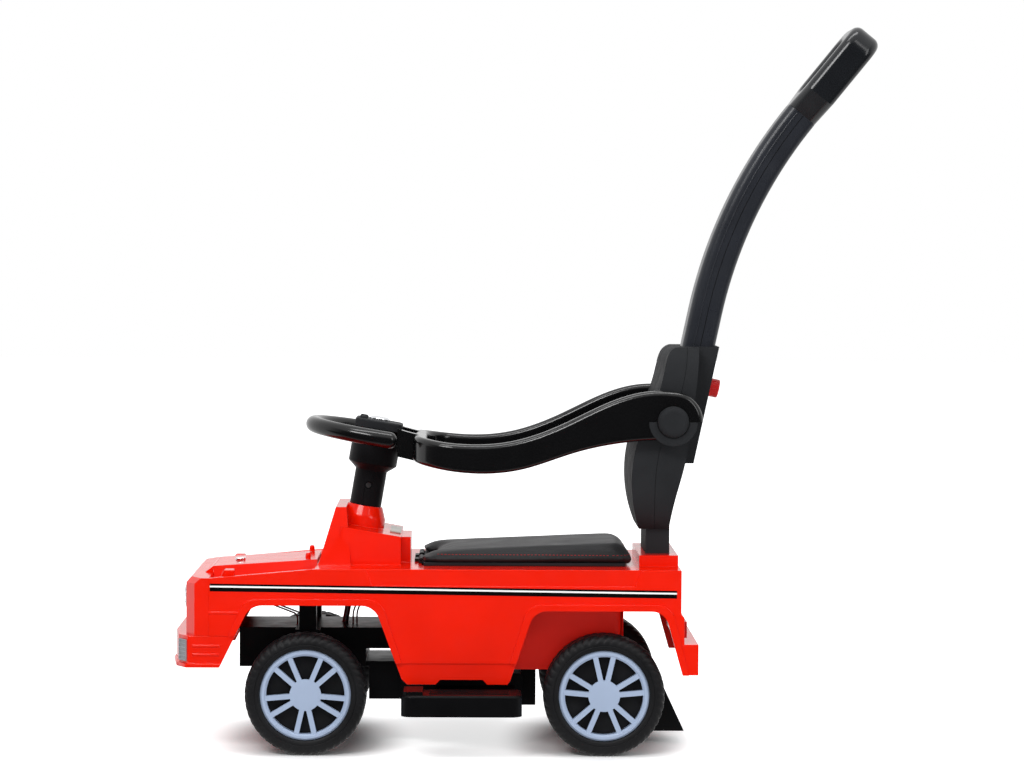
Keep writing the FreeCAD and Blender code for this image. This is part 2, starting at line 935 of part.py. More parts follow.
def hood_section(body, at_x, fender, valley, hood):
    points = [
        (half_width, fender_base_z - dim.overlap),
        (half_width, fender),
        (half_width - dim.fender_ridge, fender),
        (valley_half, valley),
        (dim.bulge_half_width + dim.bulge_slope, valley),
        (dim.bulge_half_width, hood),
    ]
    return outline(body, "YZ_Plane", points + [(-y, z) for y, z in reversed(points)], at_x)


def body_front(body):
    """Hood with its bulge, cowl tower and dash box."""
    front = hood_section(body, seam_x, fascia_top, valley_front, hood_front_z)
    rear = hood_section(body, cowl_x, deck_z, valley_rear, hood_rear_z)
    loft(body, front, rear)
    base_z = valley_rear - dim.overlap
    top_front = cowl_x + dim.cowl_top_offset
    base = mirrored_half([(cowl_x, dim.cowl_base_half), (cowl_rear_x, dim.cowl_base_half)])
    top = mirrored_half([(top_front, dim.cowl_top_half), (top_front + dim.cowl_top_depth, dim.cowl_top_half)])
    loft(body, outline(body, "XY_Plane", base, base_z), outline(body, "XY_Plane", top, cowl_z))
    dash = [
        (dash_front_x, base_z),
        (dash_front_x, dash_front_z),
        (dash_rear_x, dash_rear_z),
        (dash_rear_x, base_z),
    ]
    pad(body, outline(body, "XZ_Plane", dash), dim.dash_half * 2, True)
    nose_top = dash_rear_z - dim.dash_nose_drop
    nose = [
        (dash_rear_x - dim.overrun, base_z),
        (dash_rear_x - dim.overrun, nose_top),
        (dash_nose_x, nose_top),
        (dash_nose_x, base_z),
    ]
    pad(body, outline(body, "XZ_Plane", nose), dim.dash_nose_half * 2, True)


def body_cavity(body):
    """Open underside: the main space, then the spaces under the bulge, cowl and dash."""
    wall = dim.shell_wall
    bumper_x = rear_x + dim.rear_bumper_depth
    low = valley_front - wall - dim.overrun
    main = [
        (seam_x + wall, ZERO),
        (seam_x + wall, valley_front - wall),
        (cowl_x + wall, valley_rear - wall),
        (cowl_x + wall, deck_under),
        (rear_x - wall, deck_under),
        (rear_x - wall, dim.rear_bumper_top - wall),
        (bumper_x - wall, dim.rear_bumper_top - wall),
        (bumper_x - wall, ZERO),
    ]
    pocket(body, outline(body, "XZ_Plane", main), inner_half * 2, True)
    bulge = [
        (seam_x + wall, low),
        (seam_x + wall, hood_front_z - wall),
        (cowl_x, hood_rear_z - wall),
        (cowl_x, low),
    ]
    pocket(body, outline(body, "XZ_Plane", bulge), (dim.bulge_half_width - wall) * 2, True)
    dash = [
        (cowl_rear_x, low),
        (cowl_rear_x, dash_front_z - wall * 2),
        (dash_rear_x - wall, dash_rear_z - wall),
        (dash_rear_x - wall, low),
    ]
    pocket(body, outline(body, "XZ_Plane", dash), (dim.dash_half - wall) * 2, True)


def body_openings(body):
    """Steering boss with its bore, backrest socket and the opening over the tub."""
    at = (steering_x, deck_z)
    turn = -dim.steering_tilt
    low = -dim.boss_root
    boss = [
        (ZERO, low),
        (dim.boss_radius, low),
        (dim.boss_radius, dim.boss_length - dim.boss_shoulder),
        (dim.boss_top_radius, dim.boss_length),
        (ZERO, dim.boss_length),
    ]
    revolve("Revolution", body, outline(body, "XZ_Plane", boss, ZERO, at, turn))
    bore = [
        (ZERO, low - dim.overrun),
        (dim.bush_bore, low - dim.overrun),
        (dim.bush_bore, dim.boss_length + dim.overrun),
        (ZERO, dim.boss_length + dim.overrun),
    ]
    revolve("Groove", body, outline(body, "XZ_Plane", bore, ZERO, at, turn))
    socket = mirrored_half([(socket_x, dim.socket_half), (socket_x + dim.socket_depth, dim.socket_half)])
    rise = dim.socket_rise + dim.overlap
    pad(body, outline(body, "XY_Plane", socket, deck_z - dim.overlap), rise)
    stem = stem_outline(dim.stem_clearance)
    above = deck_z + dim.socket_rise + dim.overlap
    depth = dim.socket_rise + dim.shell_wall + dim.overlap * 2
    pocket(body, outline(body, "XY_Plane", stem, above), depth)
    inside = dim.tub_wall
    half = tub_half - inside
    opening = mirrored_half([(tub_front_x + inside, half), (tub_rear_x - inside, half)])
    sketch = outline(body, "XY_Plane", opening, deck_z + dim.overlap)
    pocket(body, sketch, dim.shell_wall + dim.overlap * 2)


def stem_outline(clearance):
    front = dim.rear_axle_x + dim.stem_front - clearance
    rear = dim.rear_axle_x + dim.stem_front + dim.stem_depth + clearance
    half = dim.stem_half + clearance
    return mirrored_half([(front, half), (rear, half)])


def make_body_shell():
    body = new_body("body_shell")
    body_sides(body)
    body_sill(body)
    body_doors(body)
    body_front(body)
    body_cavity(body)
    body_openings(body)
    keep("body_shell", body)


def make_front_fascia():
    """Nose panel with a grille window and two lamp holes, open at the back."""
    body = new_body("front_fascia")
    half = half_width - dim.fascia_inset
    corner_x = seam_x - dim.fascia_corner
    height = fascia_top - dim.bumper_top
    plan = mirrored_half([(seam_x, half), (corner_x, half), (fascia_front_x, dim.fascia_bevel_half)])
    pad(body, outline(body, "XY_Plane", plan, dim.bumper_top), height)
    top = on_plane("z", fascia_top)
    soften("Chamfer", body, dim.fascia_chamfer,
           lambda edge: top(edge) and edge.CenterOfMass.x < number(corner_x - dim.overlap))
    nose = [
        (seam_x, fascia_top - dim.overrun),
        (seam_x, hood_front_z),
        (seam_x - dim.nose_length, hood_front_z - dim.nose_drop),
        (seam_x - dim.nose_length, fascia_top - dim.overrun),
    ]
    pad(body, outline(body, "XZ_Plane", nose), dim.bulge_half_width * 2, True)
    wall = dim.shell_wall
    inside = mirrored_half([
        (seam_x + dim.overlap, half - wall),
        (corner_x + wall / 2, half - wall),
        (fascia_front_x + wall, dim.fascia_bevel_half - wall / 2),
    ])
    inside_height = dim.lamp_rise + dim.lamp_radius + dim.running_clearance + dim.overlap
    pocket(body, outline(body, "XY_Plane", inside, dim.bumper_top - dim.overlap), inside_height, False, True)
    windows = attach(body, "YZ_Plane", fascia_front_x - dim.overlap)
    add_polygon(windows, mirrored_window(ZERO))
    for side in (1, -1):
        add_circle(windows, (dim.lamp_offset * side, lamp_z), dim.lamp_radius)
    pocket(body, windows, wall * 2 + dim.overlap, False, True)
    keep("front_fascia", body)


def mirrored_window(gap):
    half = dim.grille_half - gap
    low = grille_low_z + gap
    high = grille_high_z - gap
    return [(half, low), (half, high), (-half, high), (-half, low)]


def make_grille_insert():
    """Slatted grille with a frame and a thin back plate, seated in the nose window."""
    body = new_body("grille_insert")
    face_x = fascia_front_x + dim.grille_setback
    gap = dim.running_clearance
    pad(body, outline(body, "YZ_Plane", mirrored_window(gap), face_x + dim.grille_bar_depth), dim.grille_back)
    frame = attach(body, "YZ_Plane", face_x)
    add_polygon(frame, mirrored_window(gap))
    add_polygon(frame, mirrored_window(gap + dim.grille_frame))
    pad(body, frame, dim.grille_bar_depth)
    space = grille_high_z - grille_low_z - dim.grille_frame * 2 - dim.grille_bar * dim.grille_bar_count
    pitch = dim.grille_bar + space / (dim.grille_bar_count + 1)
    low = grille_low_z + dim.grille_frame + space / (dim.grille_bar_count + 1)
    half = dim.grille_half - dim.grille_frame
    bar = [(half, low), (half, low + dim.grille_bar), (-half, low + dim.grille_bar), (-half, low)]
    first = pad(body, outline(body, "YZ_Plane", bar, face_x), dim.grille_bar_depth)
    doc.recompute()
    bars = body.newObject("PartDesign::LinearPattern", "grille_bars")
    bars.Originals = [first]
    bars.Direction = (first.Profile[0], ["V_Axis"])
    bind(bars, "Length", pitch * (dim.grille_bar_count - 1))
    bind(bars, "Occurrences", dim.grille_bar_count)
    body.Tip = bars
    keep("grille_insert", body)


def lamp_ring(label, points):
    """A part of a headlight, turned about the lamp's axis."""
    body = new_body(label + "_right")
    sketch = outline(body, "XY_Plane", points)
    revolve("Revolution", body, sketch, "H_Axis")
    place(body, fascia_front_x, dim.lamp_offset, lamp_z)
    return keep(label, group(label, [body, mirror(body)]))


def make_headlights():
    """Bowl reflectors and domed lenses in the two lamp holes."""
    outer = dim.lamp_radius - dim.running_clearance
    wall = dim.lamp_wall
    seat = dim.lens_flange
    lamp_ring("headlight_reflectors", [
        (seat, outer - wall),
        (seat, outer),
        (dim.lamp_depth / 2, outer),
        (dim.lamp_depth, outer / 2),
        (dim.lamp_depth, ZERO),
        (dim.lamp_depth - wall, ZERO),
        (dim.lamp_depth - wall, outer / 2 - wall),
        (dim.lamp_depth / 2 - wall, outer - wall * 2),
    ])
    lamp_ring("headlight_lenses", [
        (-dim.lens_dome, ZERO),
        (-dim.lens_dome * LENS_SHOULDER_SHARE, outer / 2),
        (ZERO, outer),
        (seat, outer),
        (seat, outer - wall),
        (seat - dim.lens_dome * LENS_INNER_SHARE, outer / 2 - wall),
        (dim.lens_wall - dim.lens_dome, ZERO),
    ])


def bumper_plan(proud):
    half = half_width + proud - dim.overlap
    wing = between(front_arch()[0], front_arch()[1], dim.bumper_top)
    return [
        (wing, half),
        (seam_x - dim.bumper_corner - proud, half),
        (seam_x - dim.bumper_bevel_depth - proud, dim.bumper_bevel_half + proud),
        (bumper_front_x + dim.bumper_lip - proud, dim.bumper_nose_half),
    ]


def make_front_bumper():
    """Bowed bumper shell that wraps round to the front arches, with a bottom lip and side ribs."""
    body = new_body("front_bumper")
    wall = dim.shell_wall
    height = dim.bumper_top - dim.bumper_bottom
    pad(body, outline(body, "XY_Plane", mirrored_half(bumper_plan(ZERO)), dim.bumper_bottom), height)
    lip = mirrored_half(bumper_plan(dim.bumper_lip))
    pad(body, outline(body, "XY_Plane", lip, dim.bumper_bottom), dim.bumper_lip_height)
    rib_front = seam_x - dim.bumper_corner + dim.overrun
    rib_rear = between(front_arch()[0], front_arch()[1], dim.bumper_bottom)
    for step in (0, 1):
        low = dim.bumper_rib_height - dim.bumper_rib_pitch * step
        rib = [
            (rib_front, low),
            (rib_front, low + dim.fender_rib_thick),
            (rib_rear, low + dim.fender_rib_thick),
            (rib_rear, low),
        ]
        pad(body, outline(body, "XZ_Plane", rib), dim.body_width + dim.fender_rib_proud, True)
    inside = [(x + wall, y - wall) for x, y in bumper_plan(ZERO)]
    inside[0] = (inside[0][0] + dim.overrun, inside[0][1])
    inner = outline(body, "XY_Plane", mirrored_half(inside), dim.bumper_bottom - dim.overlap)
    pocket(body, inner, height - wall + dim.overlap, False, True)
    low = dim.bumper_bottom - dim.overlap
    high = dim.bumper_top + dim.overlap
    arch = front_arch()
    back = between(arch[0], arch[1], high) + dim.overrun
    behind = [
        (between(arch[0], arch[1], low), low),
        (between(arch[0], arch[1], high), high),
        (back, high),
        (back, low),
    ]
    pocket(body, outline(body, "XZ_Plane", behind), dim.body_width + dim.overrun * 2, True)
    keep("front_bumper", body)


def make_bumper_vents():
    """Slatted vents on the bevelled corners of the bumper."""
    corner, bevel = bumper_plan(ZERO)[1:3]
    run = Vector(number(bevel[0] - corner[0]), number(bevel[1] - corner[1]), 0)
    margin = dim.vent_margin.value
    length = run.Length - margin * 2
    height = dim.vent_top.value - dim.vent_bottom.value
    thick = dim.vent_plate.value
    frame = Part.makeBox(length, thick, height)
    slat = dim.vent_slat.value
    total = COUNTS["vent_slat_count"]
    pitch = (height - slat) / total
    for index in range(total):
        gap = Part.makeBox(length - slat * 2, thick / 2, pitch - slat, Vector(slat, 0, slat + index * pitch))
        frame = frame.cut(gap)
    angle = math.degrees(math.atan2(run.y, run.x))
    start = vector(corner[0], corner[1], dim.vent_bottom) + run.normalize() * margin
    frame.Placement = Placement(start, Rotation(Vector(0, 0, 1), angle))
    frame.translate(Vector(run.y, -run.x, 0) * thick)
    vents = [frame, frame.mirror(Vector(), Vector(0, 1, 0))]
    keep("bumper_vents", solid("bumper_vents", Part.makeCompound(vents)))


def hood_height(at_x):
    return between((hood_front_z, seam_x), (hood_rear_z, cowl_x), at_x)


def valley_height(at_x):
    return between((valley_front, seam_x), (valley_rear, cowl_x), at_x)


def valley_roof(at_x):
    """Inner face of the shell under the valleys beside the bulge."""
    return valley_height(at_x - dim.shell_wall) - dim.shell_wall


def bulge_roof(at_x):
    """Inner face of the shell under the hood bulge."""
    wall = dim.shell_wall
    return between((hood_front_z - wall, seam_x + wall), (hood_rear_z - wall, cowl_x), at_x)


def make_hood_trim():
    """Turn-signal caps in the valleys, a plain badge and two pegs on the hood."""
    cap = new_body("turn_signal_cap")
    front = seam_x + dim.cap_setback
    rear = front + dim.cap_length
    points = [
        (front, valley_height(front)),
        (front + dim.cap_slant, valley_height(front) + dim.cap_height),
        (rear, valley_height(front) + dim.cap_height),
        (rear, valley_height(rear)),
    ]
    pad(cap, outline(cap, "XZ_Plane", points, valley_half - dim.cap_edge_gap - dim.cap_width), dim.cap_width)
    keep("turn_signal_caps", group("turn_signal_caps", [cap, mirror(cap)]))

    badge = new_body("hood_badge")
    badge_x = seam_x + dim.badge_setback
    badge_end = badge_x + dim.badge_length
    low = [(badge_x, hood_height(badge_x)), (badge_end, hood_height(badge_end))]
    high = [(x, z + dim.badge_thick) for x, z in reversed(low)]
    pad(badge, outline(badge, "XZ_Plane", low + high), dim.badge_width, True)
    ends = [(low[0][0], dim.badge_width / 2), (low[1][0], dim.badge_width / 2)]
    soften("Fillet", badge, dim.badge_length / 3, along_z(ends + [(x, -y) for x, y in ends]))
    keep("hood_badge", badge)

    peg = new_body("hood_peg")
    peg_x = cowl_x - dim.peg_setback
    base = hood_height(peg_x + dim.peg_radius)
    rise = dim.peg_rise
    turned = [
        (ZERO, ZERO),
        (dim.peg_radius, ZERO),
        (dim.peg_radius, rise * PEG_SIDE_SHARE),
        (dim.peg_radius * PEG_TOP_SHARE, rise),
        (ZERO, rise),
    ]
    revolve("Revolution", peg, outline(peg, "XZ_Plane", turned))
    place(peg, peg_x, dim.peg_offset, base)
    keep("hood_pegs", group("hood_pegs", [peg, mirror(peg)]))


def make_dash_panel():
    """Gauge panel on the sloped top of the dash."""
    body = new_body("dash_panel")
    front = dash_rear_x - dim.panel_depth - dim.overlap
    rear = dash_rear_x - dim.overlap

    def top(at_x):
        return between((dash_front_z, dash_front_x), (dash_rear_z, dash_rear_x), at_x)

    low = [(front, top(front)), (rear, top(rear))]
    points = low + [(x, z + dim.panel_thick) for x, z in reversed(low)]
    pad(body, outline(body, "XZ_Plane", points), dim.panel_half * 2, True)
    keep("dash_panel", body)


def make_tail_lamps():
    low_y = dim.tail_lamp_offset - dim.tail_lamp_width / 2
    start = rear_x + dim.tail_step
    lamp = box("tail_lamp", (start, low_y, dim.tail_lamp_bottom),
               (start + dim.tail_lamp_proud, low_y + dim.tail_lamp_width, dim.tail_lamp_bottom + dim.tail_lamp_height))
    keep("tail_lights", group("tail_lights", [lamp, mirror(lamp)]))


def make_storage_tub():
    """Open tub that hangs under the deck by its flange."""
    body = new_body("storage_tub")
    wall = dim.tub_wall
    outside = mirrored_half([(tub_front_x, tub_half), (tub_rear_x, tub_half)])
    pad(body, outline(body, "XY_Plane", outside, dim.tub_bottom), deck_under - dim.tub_bottom)
    soften("Fillet", body, dim.tub_corner, along_z(outside))
    flange = mirrored_half([
        (tub_front_x - dim.tub_flange, tub_half + dim.tub_flange),
        (tub_rear_x + dim.tub_flange, tub_half + dim.tub_flange),
    ])
    pad(body, outline(body, "XY_Plane", flange, deck_under - wall), wall)
    inside = mirrored_half([(tub_front_x + wall, tub_half - wall), (tub_rear_x - wall, tub_half - wall)])
    depth = deck_under - dim.tub_bottom - wall + dim.overlap
    pocket(body, outline(body, "XY_Plane", inside, deck_under + dim.overlap), depth)
    keep("storage_tub", body)


def chassis_spine(body):
    """Front block, axle beam with kingpin plates, posts under the hood and the beam to the tub."""
    arch = front_arch()
    front_x = between(arch[0], arch[1], dim.bumper_top) + dim.running_clearance
    step_x = front_axle_x + dim.beam_step
    spine = [
        (front_x, clevis_top_z),
        (front_x, dim.chassis_top),
        (tub_front_x, dim.chassis_top),
        (tub_front_x, dim.beam_bottom),
        (step_x, dim.beam_bottom),
        (step_x, clevis_top_z),
    ]
    pad(body, outline(body, "XZ_Plane", spine), chassis_half * 2, True)
    reach = dim.axle_beam_half_length
    end = kingpin_y + dim.axle_beam_end
    plan = mirrored_half([(front_axle_x - reach, end), (front_axle_x + reach, end)])
    pad(body, outline(body, "XY_Plane", plan, clevis_top_z), dim.chassis_top - clevis_top_z)
    pad(body, outline(body, "XY_Plane", plan, clevis_low_z), dim.clevis_plate, False, True)
    web = attach(body, "XY_Plane", clevis_low_z - dim.overlap)
    for side in (1, -1):
        add_polygon(web, [
            (front_axle_x - reach, dim.web_inner * side),
            (front_axle_x + reach / 2, dim.web_inner * side),
            (front_axle_x + reach / 2, dim.web_outer * side),
            (front_axle_x - reach, dim.web_outer * side),
        ])
    pad(body, web, clevis_top_z - clevis_low_z + dim.overlap * 2)
    tower = attach(body, "XY_Plane", dim.chassis_top - dim.overlap)
    half = dim.tower_length / 2
    for side in (1, -1):
        add_polygon(tower, [
            (front_axle_x - half, dim.tower_inner * side),
            (front_axle_x + half, dim.tower_inner * side),
            (front_axle_x + half, (dim.tower_inner + dim.tower_width) * side),
            (front_axle_x - half, (dim.tower_inner + dim.tower_width) * side),
        ])
    ceiling = valley_roof(front_axle_x - half)
    pad(body, tower, ceiling - dim.chassis_top + dim.overlap)


def chassis_tray(body):
    """Bracket behind the front wheels, the footrest tray with its cross slot and the rear post."""
    front = front_axle_x + dim.tray_front
    rear = front_axle_x + dim.tray_rear
    bracket = [
        (front_axle_x + dim.bracket_front - dim.overrun, dim.bracket_top),
        (front, dim.bracket_top),
        (front, dim.tray_bottom + dim.overlap),
        (front_axle_x + dim.bracket_front, dim.tray_bottom + dim.overlap),
        (front_axle_x + dim.bracket_front, clevis_top_z),
        (front_axle_x + dim.bracket_front - dim.overrun, clevis_top_z),
    ]
    pad(body, outline(body, "XZ_Plane", bracket), dim.bracket_half * 2, True)
    height = dim.tray_top - dim.tray_bottom
    block_rear = front + dim.tray_block
    tray = mirrored_half([(front - dim.overlap, dim.tray_half), (rear, dim.tray_half)])
    pad(body, outline(body, "XY_Plane", tray, dim.tray_bottom), height)
    slot_low = dim.footrest_top - dim.footrest_thick + dim.tongue_lift - dim.running_clearance
    slot_high = slot_low + dim.tongue_height + dim.running_clearance * 2
    slot = [
        (block_rear + dim.slot_margin, slot_low),
        (block_rear + dim.slot_margin, slot_high),
        (rear - dim.slot_margin, slot_high),
        (rear - dim.slot_margin, slot_low),
    ]
    pocket(body, outline(body, "XZ_Plane", slot), dim.body_width, True)
    half = dim.rear_post_half
    post = mirrored_half([(rear - dim.overlap, half), (rear + dim.rear_post_length, half)])
    pad(body, outline(body, "XY_Plane", post, dim.rear_post_bottom), dim.tub_bottom - dim.rear_post_bottom)


def chassis_hollows(body):
    """Moulding hollows in the underside of the front block and of the beam."""
    arch = front_arch()
    wall = dim.chassis_wall
    half = chassis_half - wall
    depth = dim.chassis_top - wall + dim.overlap
    front = between(arch[0], arch[1], dim.bumper_top) + dim.running_clearance + wall
    block = mirrored_half([(front, half), (front_axle_x - dim.axle_beam_half_length - wall, half)])
    sketch = outline(body, "XY_Plane", block, clevis_top_z - dim.overlap)
    pocket(body, sketch, depth - clevis_top_z, False, True)
    beam = mirrored_half([(front_axle_x + dim.beam_step + wall, half), (tub_front_x - wall, half)])
    sketch = outline(body, "XY_Plane", beam, dim.beam_bottom - dim.overlap)
    pocket(body, sketch, depth - dim.beam_bottom, False, True)


def chassis_holes(body):
    """Kingpin holes and the slanted way through for the steering shaft."""
    holes = attach(body, "XY_Plane", dim.chassis_top + dim.overlap)
    for side in (1, -1):
        add_circle(holes, (front_axle_x, kingpin_y * side), dim.kingpin_radius)
    pocket(body, holes, dim.chassis_top)
    reach = deck_z
    bore = dim.shaft_radius + dim.running_clearance * 4
    way = [(ZERO, -reach), (bore, -reach), (bore, ZERO), (ZERO, ZERO)]
    at = (steering_x, deck_z)
    revolve("Groove", body, outline(body, "XZ_Plane", way, ZERO, at, -dim.steering_tilt))


def make_chassis():
    body = new_body("chassis")
    chassis_spine(body)
    chassis_hollows(body)
    chassis_tray(body)
    chassis_holes(body)
    keep("chassis", body)


def make_kingpins():
    low = clevis_low_z - dim.clevis_plate - dim.kingpin_head
    pin = cylinder("kingpin_rod", dim.kingpin_radius, dim.chassis_top - low, (front_axle_x, kingpin_y, low))
    head_radius = dim.kingpin_radius * KINGPIN_HEAD_SHARE
    head = cylinder("kingpin_head", head_radius, dim.kingpin_head, (front_axle_x, kingpin_y, low))
    whole = fuse("kingpin", [pin, head])
    keep("kingpins", group("kingpins", [whole, mirror(whole)]))


def make_knuckle(side_name, side):
    """Steered stub axle: kingpin barrel, arm to the tie rod and axle for the wheel."""
    label = "knuckle_" + side_name
    low = axle_z - dim.knuckle_drop
    height = dim.knuckle_rise + dim.knuckle_drop
    centre_y = kingpin_y * side
    barrel = cylinder(label + "_barrel", dim.knuckle_radius, height, (front_axle_x, centre_y, low))
    length = wheel_y + axle_end - kingpin_y
    start_y = kingpin_y if side > 0 else -(kingpin_y + length)
    axle = cylinder(label + "_axle", dim.axle_radius, length, (front_axle_x, start_y, axle_z), ALONG_Y)
    shoulder_length = wheel_inner_y - kingpin_y - dim.running_clearance
    shoulder_y = kingpin_y if side > 0 else -(kingpin_y + shoulder_length)
    shoulder = cylinder(label + "_shoulder", dim.axle_radius + dim.axle_spacer_wall, shoulder_length,
                        (front_axle_x, shoulder_y, axle_z), ALONG_Y)
    half = dim.steering_arm_width / 2
    arm_x = front_axle_x + dim.steering_arm_length
    arm = box(label + "_arm", (front_axle_x, centre_y - half, arm_z),
              (arm_x, centre_y + half, arm_z + dim.steering_arm_height))
    eye = cylinder(label + "_eye", half, dim.steering_arm_height, (arm_x, centre_y, arm_z))
    bore = cylinder(label + "_bore", dim.kingpin_radius + dim.running_clearance, height,
                    (front_axle_x, centre_y, low))
    hole = cylinder(label + "_hole", dim.tie_peg_radius + dim.running_clearance, dim.steering_arm_height,
                    (arm_x, centre_y, arm_z))
    whole = fuse(label + "_whole", [barrel, axle, shoulder, arm, eye])
    keep(label, cut(label, whole, fuse(label + "_holes", [bore, hole])))


def make_tie_rod():
    """Flat rod between the two knuckle arms, with pegs at its ends and a tongue for the crank."""
    body = new_body("tie_rod")
    half = dim.steering_arm_width / 2
    rod_x = front_axle_x + dim.steering_arm_length
    tongue_x = crank_peg_x() + half
    bar = mirrored_half([
        (rod_x - half, kingpin_y + half),
        (rod_x + half, kingpin_y + half),
        (rod_x + half, half),
        (tongue_x, half),
    ])
    pad(body, outline(body, "XY_Plane", bar, tie_rod_z), dim.tie_rod_height)
    pegs = attach(body, "XY_Plane", tie_rod_z + dim.overlap)
    for side in (1, -1):
        add_circle(pegs, (rod_x, kingpin_y * side), dim.tie_peg_radius)
    pad(body, pegs, dim.steering_arm_height + dim.running_clearance + dim.overlap, False, True)
    hole = attach(body, "XY_Plane", tie_rod_z + dim.tie_rod_height + dim.overlap)
    add_circle(hole, (crank_peg_x(), ZERO), dim.tie_peg_radius + dim.crank_peg_play)
    pocket(body, hole, dim.tie_rod_height + dim.overlap * 2)
    keep("tie_rod", body)


def crank_axis_x():
    """Where the steering axis meets the crank's level."""
    drop = deck_z - crank_z
    return steering_x - drop * (sine(dim.steering_tilt) / cosine(dim.steering_tilt))


def crank_peg_x():
    return crank_axis_x() + dim.steering_arm_length


def make_steering_shaft():
    """Rod down the steering axis with a crank and a peg that moves the tie rod."""
    low = (deck_z - crank_z) / cosine(dim.steering_tilt)
    rod = on_steering_axis(doc.addObject("Part::Cylinder", "steering_rod"))
    bind(rod, "Radius", dim.shaft_radius)
    bind(rod, "Height", dim.shaft_top + low - dim.clevis_plate / 2)
    lowered = low - dim.clevis_plate / 2
    rod_x = steering_x - lowered * sine(dim.steering_tilt)
    place(rod, rod_x, ZERO, deck_z - lowered * cosine(dim.steering_tilt))
    half = dim.steering_arm_width / 2
    thick = (clevis_top_z - crank_z) / 2
    plate = box("crank_plate", (crank_axis_x(), -half, crank_z), (crank_peg_x(), half, crank_z + thick))
    ends = [cylinder("crank_end", half, thick, (x, ZERO, crank_z)) for x in (crank_axis_x(), crank_peg_x())]
    depth = dim.tie_rod_height + dim.running_clearance
    peg = cylinder("crank_peg", dim.tie_peg_radius, depth + dim.overlap,
                   (crank_peg_x(), ZERO, crank_z - depth))
    keep("steering_shaft", fuse("steering_shaft", [rod, plate, peg] + ends))


def make_rear_axle():
    """Axle with its bracket under the tub, spacers and end caps."""
    length = (wheel_y + axle_end) * 2
    start = (dim.rear_axle_x, -length / 2, axle_z)
    keep("rear_axle", cylinder("rear_axle", dim.axle_radius, length, start, ALONG_Y))
    body = new_body("rear_axle_bracket")
    half = dim.axle_bracket_half_length
    foot = dim.axle_bracket_drop
    outer = wheel_inner_y - dim.axle_spacer_length
    points = [
        (dim.rear_axle_x - half, dim.tub_bottom),
        (dim.rear_axle_x + half, dim.tub_bottom),
        (dim.rear_axle_x + half, dim.tub_bottom - dim.axle_bracket_plate),
        (dim.rear_axle_x + foot, axle_z - foot),
        (dim.rear_axle_x - foot, axle_z - foot),
        (dim.rear_axle_x - half, dim.tub_bottom - dim.axle_bracket_plate),
    ]
    pad(body, outline(body, "XZ_Plane", points), outer * 2, True)
    high = dim.tub_bottom - dim.axle_bracket_plate
    middle = [
        (dim.rear_axle_x - half - dim.overlap, high),
        (dim.rear_axle_x + half + dim.overlap, high),
        (dim.rear_axle_x + half + dim.overlap, ZERO),
        (dim.rear_axle_x - half - dim.overlap, ZERO),
    ]
    pocket(body, outline(body, "XZ_Plane", middle), (outer - dim.axle_bracket_leg) * 2, True)
    hole = attach(body, "XZ_Plane")
    add_circle(hole, (dim.rear_axle_x, axle_z), dim.axle_radius)
    pocket(body, hole, dim.body_width, True)
    keep("rear_axle_bracket", body)
    spacer = tube("axle_spacer", dim.axle_radius + dim.axle_spacer_wall, dim.axle_radius,
                  dim.axle_spacer_length - dim.running_clearance, (dim.rear_axle_x, outer, axle_z), ALONG_Y)
    keep("axle_spacers", group("axle_spacers", [spacer, mirror(spacer)]))


def make_anti_tip_skid():
    """Hollow wedge behind the rear axle that stops the car from tipping back."""
    body = new_body("anti_tip_skid")
    start = dim.rear_axle_x + dim.axle_bracket_half_length
    knee = dim.rear_axle_x + dim.skid_back
    tip = dim.rear_axle_x + dim.skid_tip
    toe = dim.rear_axle_x + dim.skid_toe
    low = dim.tub_bottom - dim.axle_bracket_plate
    points = [
        (start, dim.tub_bottom),
        (start + dim.skid_run, dim.tub_bottom),
        (knee, dim.skid_knee_height),
        (tip, dim.skid_ground),
        (toe, dim.skid_ground),
        (start, low - dim.skid_wall),
    ]
    pad(body, outline(body, "XZ_Plane", points), dim.skid_half * 2, True)
    inside = [
        (start + dim.skid_run, low),
        (knee - dim.skid_wall, dim.skid_knee_height),
        (tip - dim.skid_wall * 2, dim.skid_ground + dim.skid_wall),
        (toe + dim.skid_wall, dim.skid_ground + dim.skid_wall),
    ]
    side = dim.skid_half - dim.shell_wall
    pocket(body, outline(body, "XZ_Plane", inside), side * 2, True)
    keep("anti_tip_skid", body)


def make_axle_cap(label, at_x, side):
    start = wheel_y + hub_face + dim.running_clearance
    low = start if side > 0 else -(start + dim.axle_cap_length)
    ring = tube(label + "_ring", dim.axle_cap_radius, dim.axle_radius, dim.axle_cap_length,
                (at_x, low, axle_z), ALONG_Y)
    return ring


def tyre_profile():
    """Half section of the tyre body, as (across, radius), from the bore round the tread."""
    half = dim.wheel_width / 2
    outer = dim.wheel_radius
    seat = dim.rim_radius + dim.rim_seat_gap
    side = outer - dim.tyre_side_drop
    inner = side - dim.tyre_wall
    groove = dim.tread_groove_width
    tread = half - dim.tyre_shoulder
    return [
        (-half, wheel_bore),
        (hub_face, wheel_bore),
        (hub_face, dim.hub_radius),
        (dim.web_face, dim.hub_radius),
        (dim.web_face, seat),
        (half - dim.tyre_side_width, seat),
        (half, seat + dim.tyre_side_width),
        (half, side),
        (half - dim.tyre_side_width, outer - dim.tyre_shoulder_drop),
        (tread, outer),
        (groove, outer),
        (groove / 2, outer - dim.tread_groove_depth),
        (-groove / 2, outer - dim.tread_groove_depth),
        (-groove, outer),
        (-tread, outer),
        (dim.tyre_side_width - half, outer - dim.tyre_shoulder_drop),
        (-half, side),
        (-half, inner),
        (dim.web_face - dim.web_wall, inner),
        (dim.web_face - dim.web_wall, dim.hub_radius),
        (-half, dim.hub_radius),
    ]


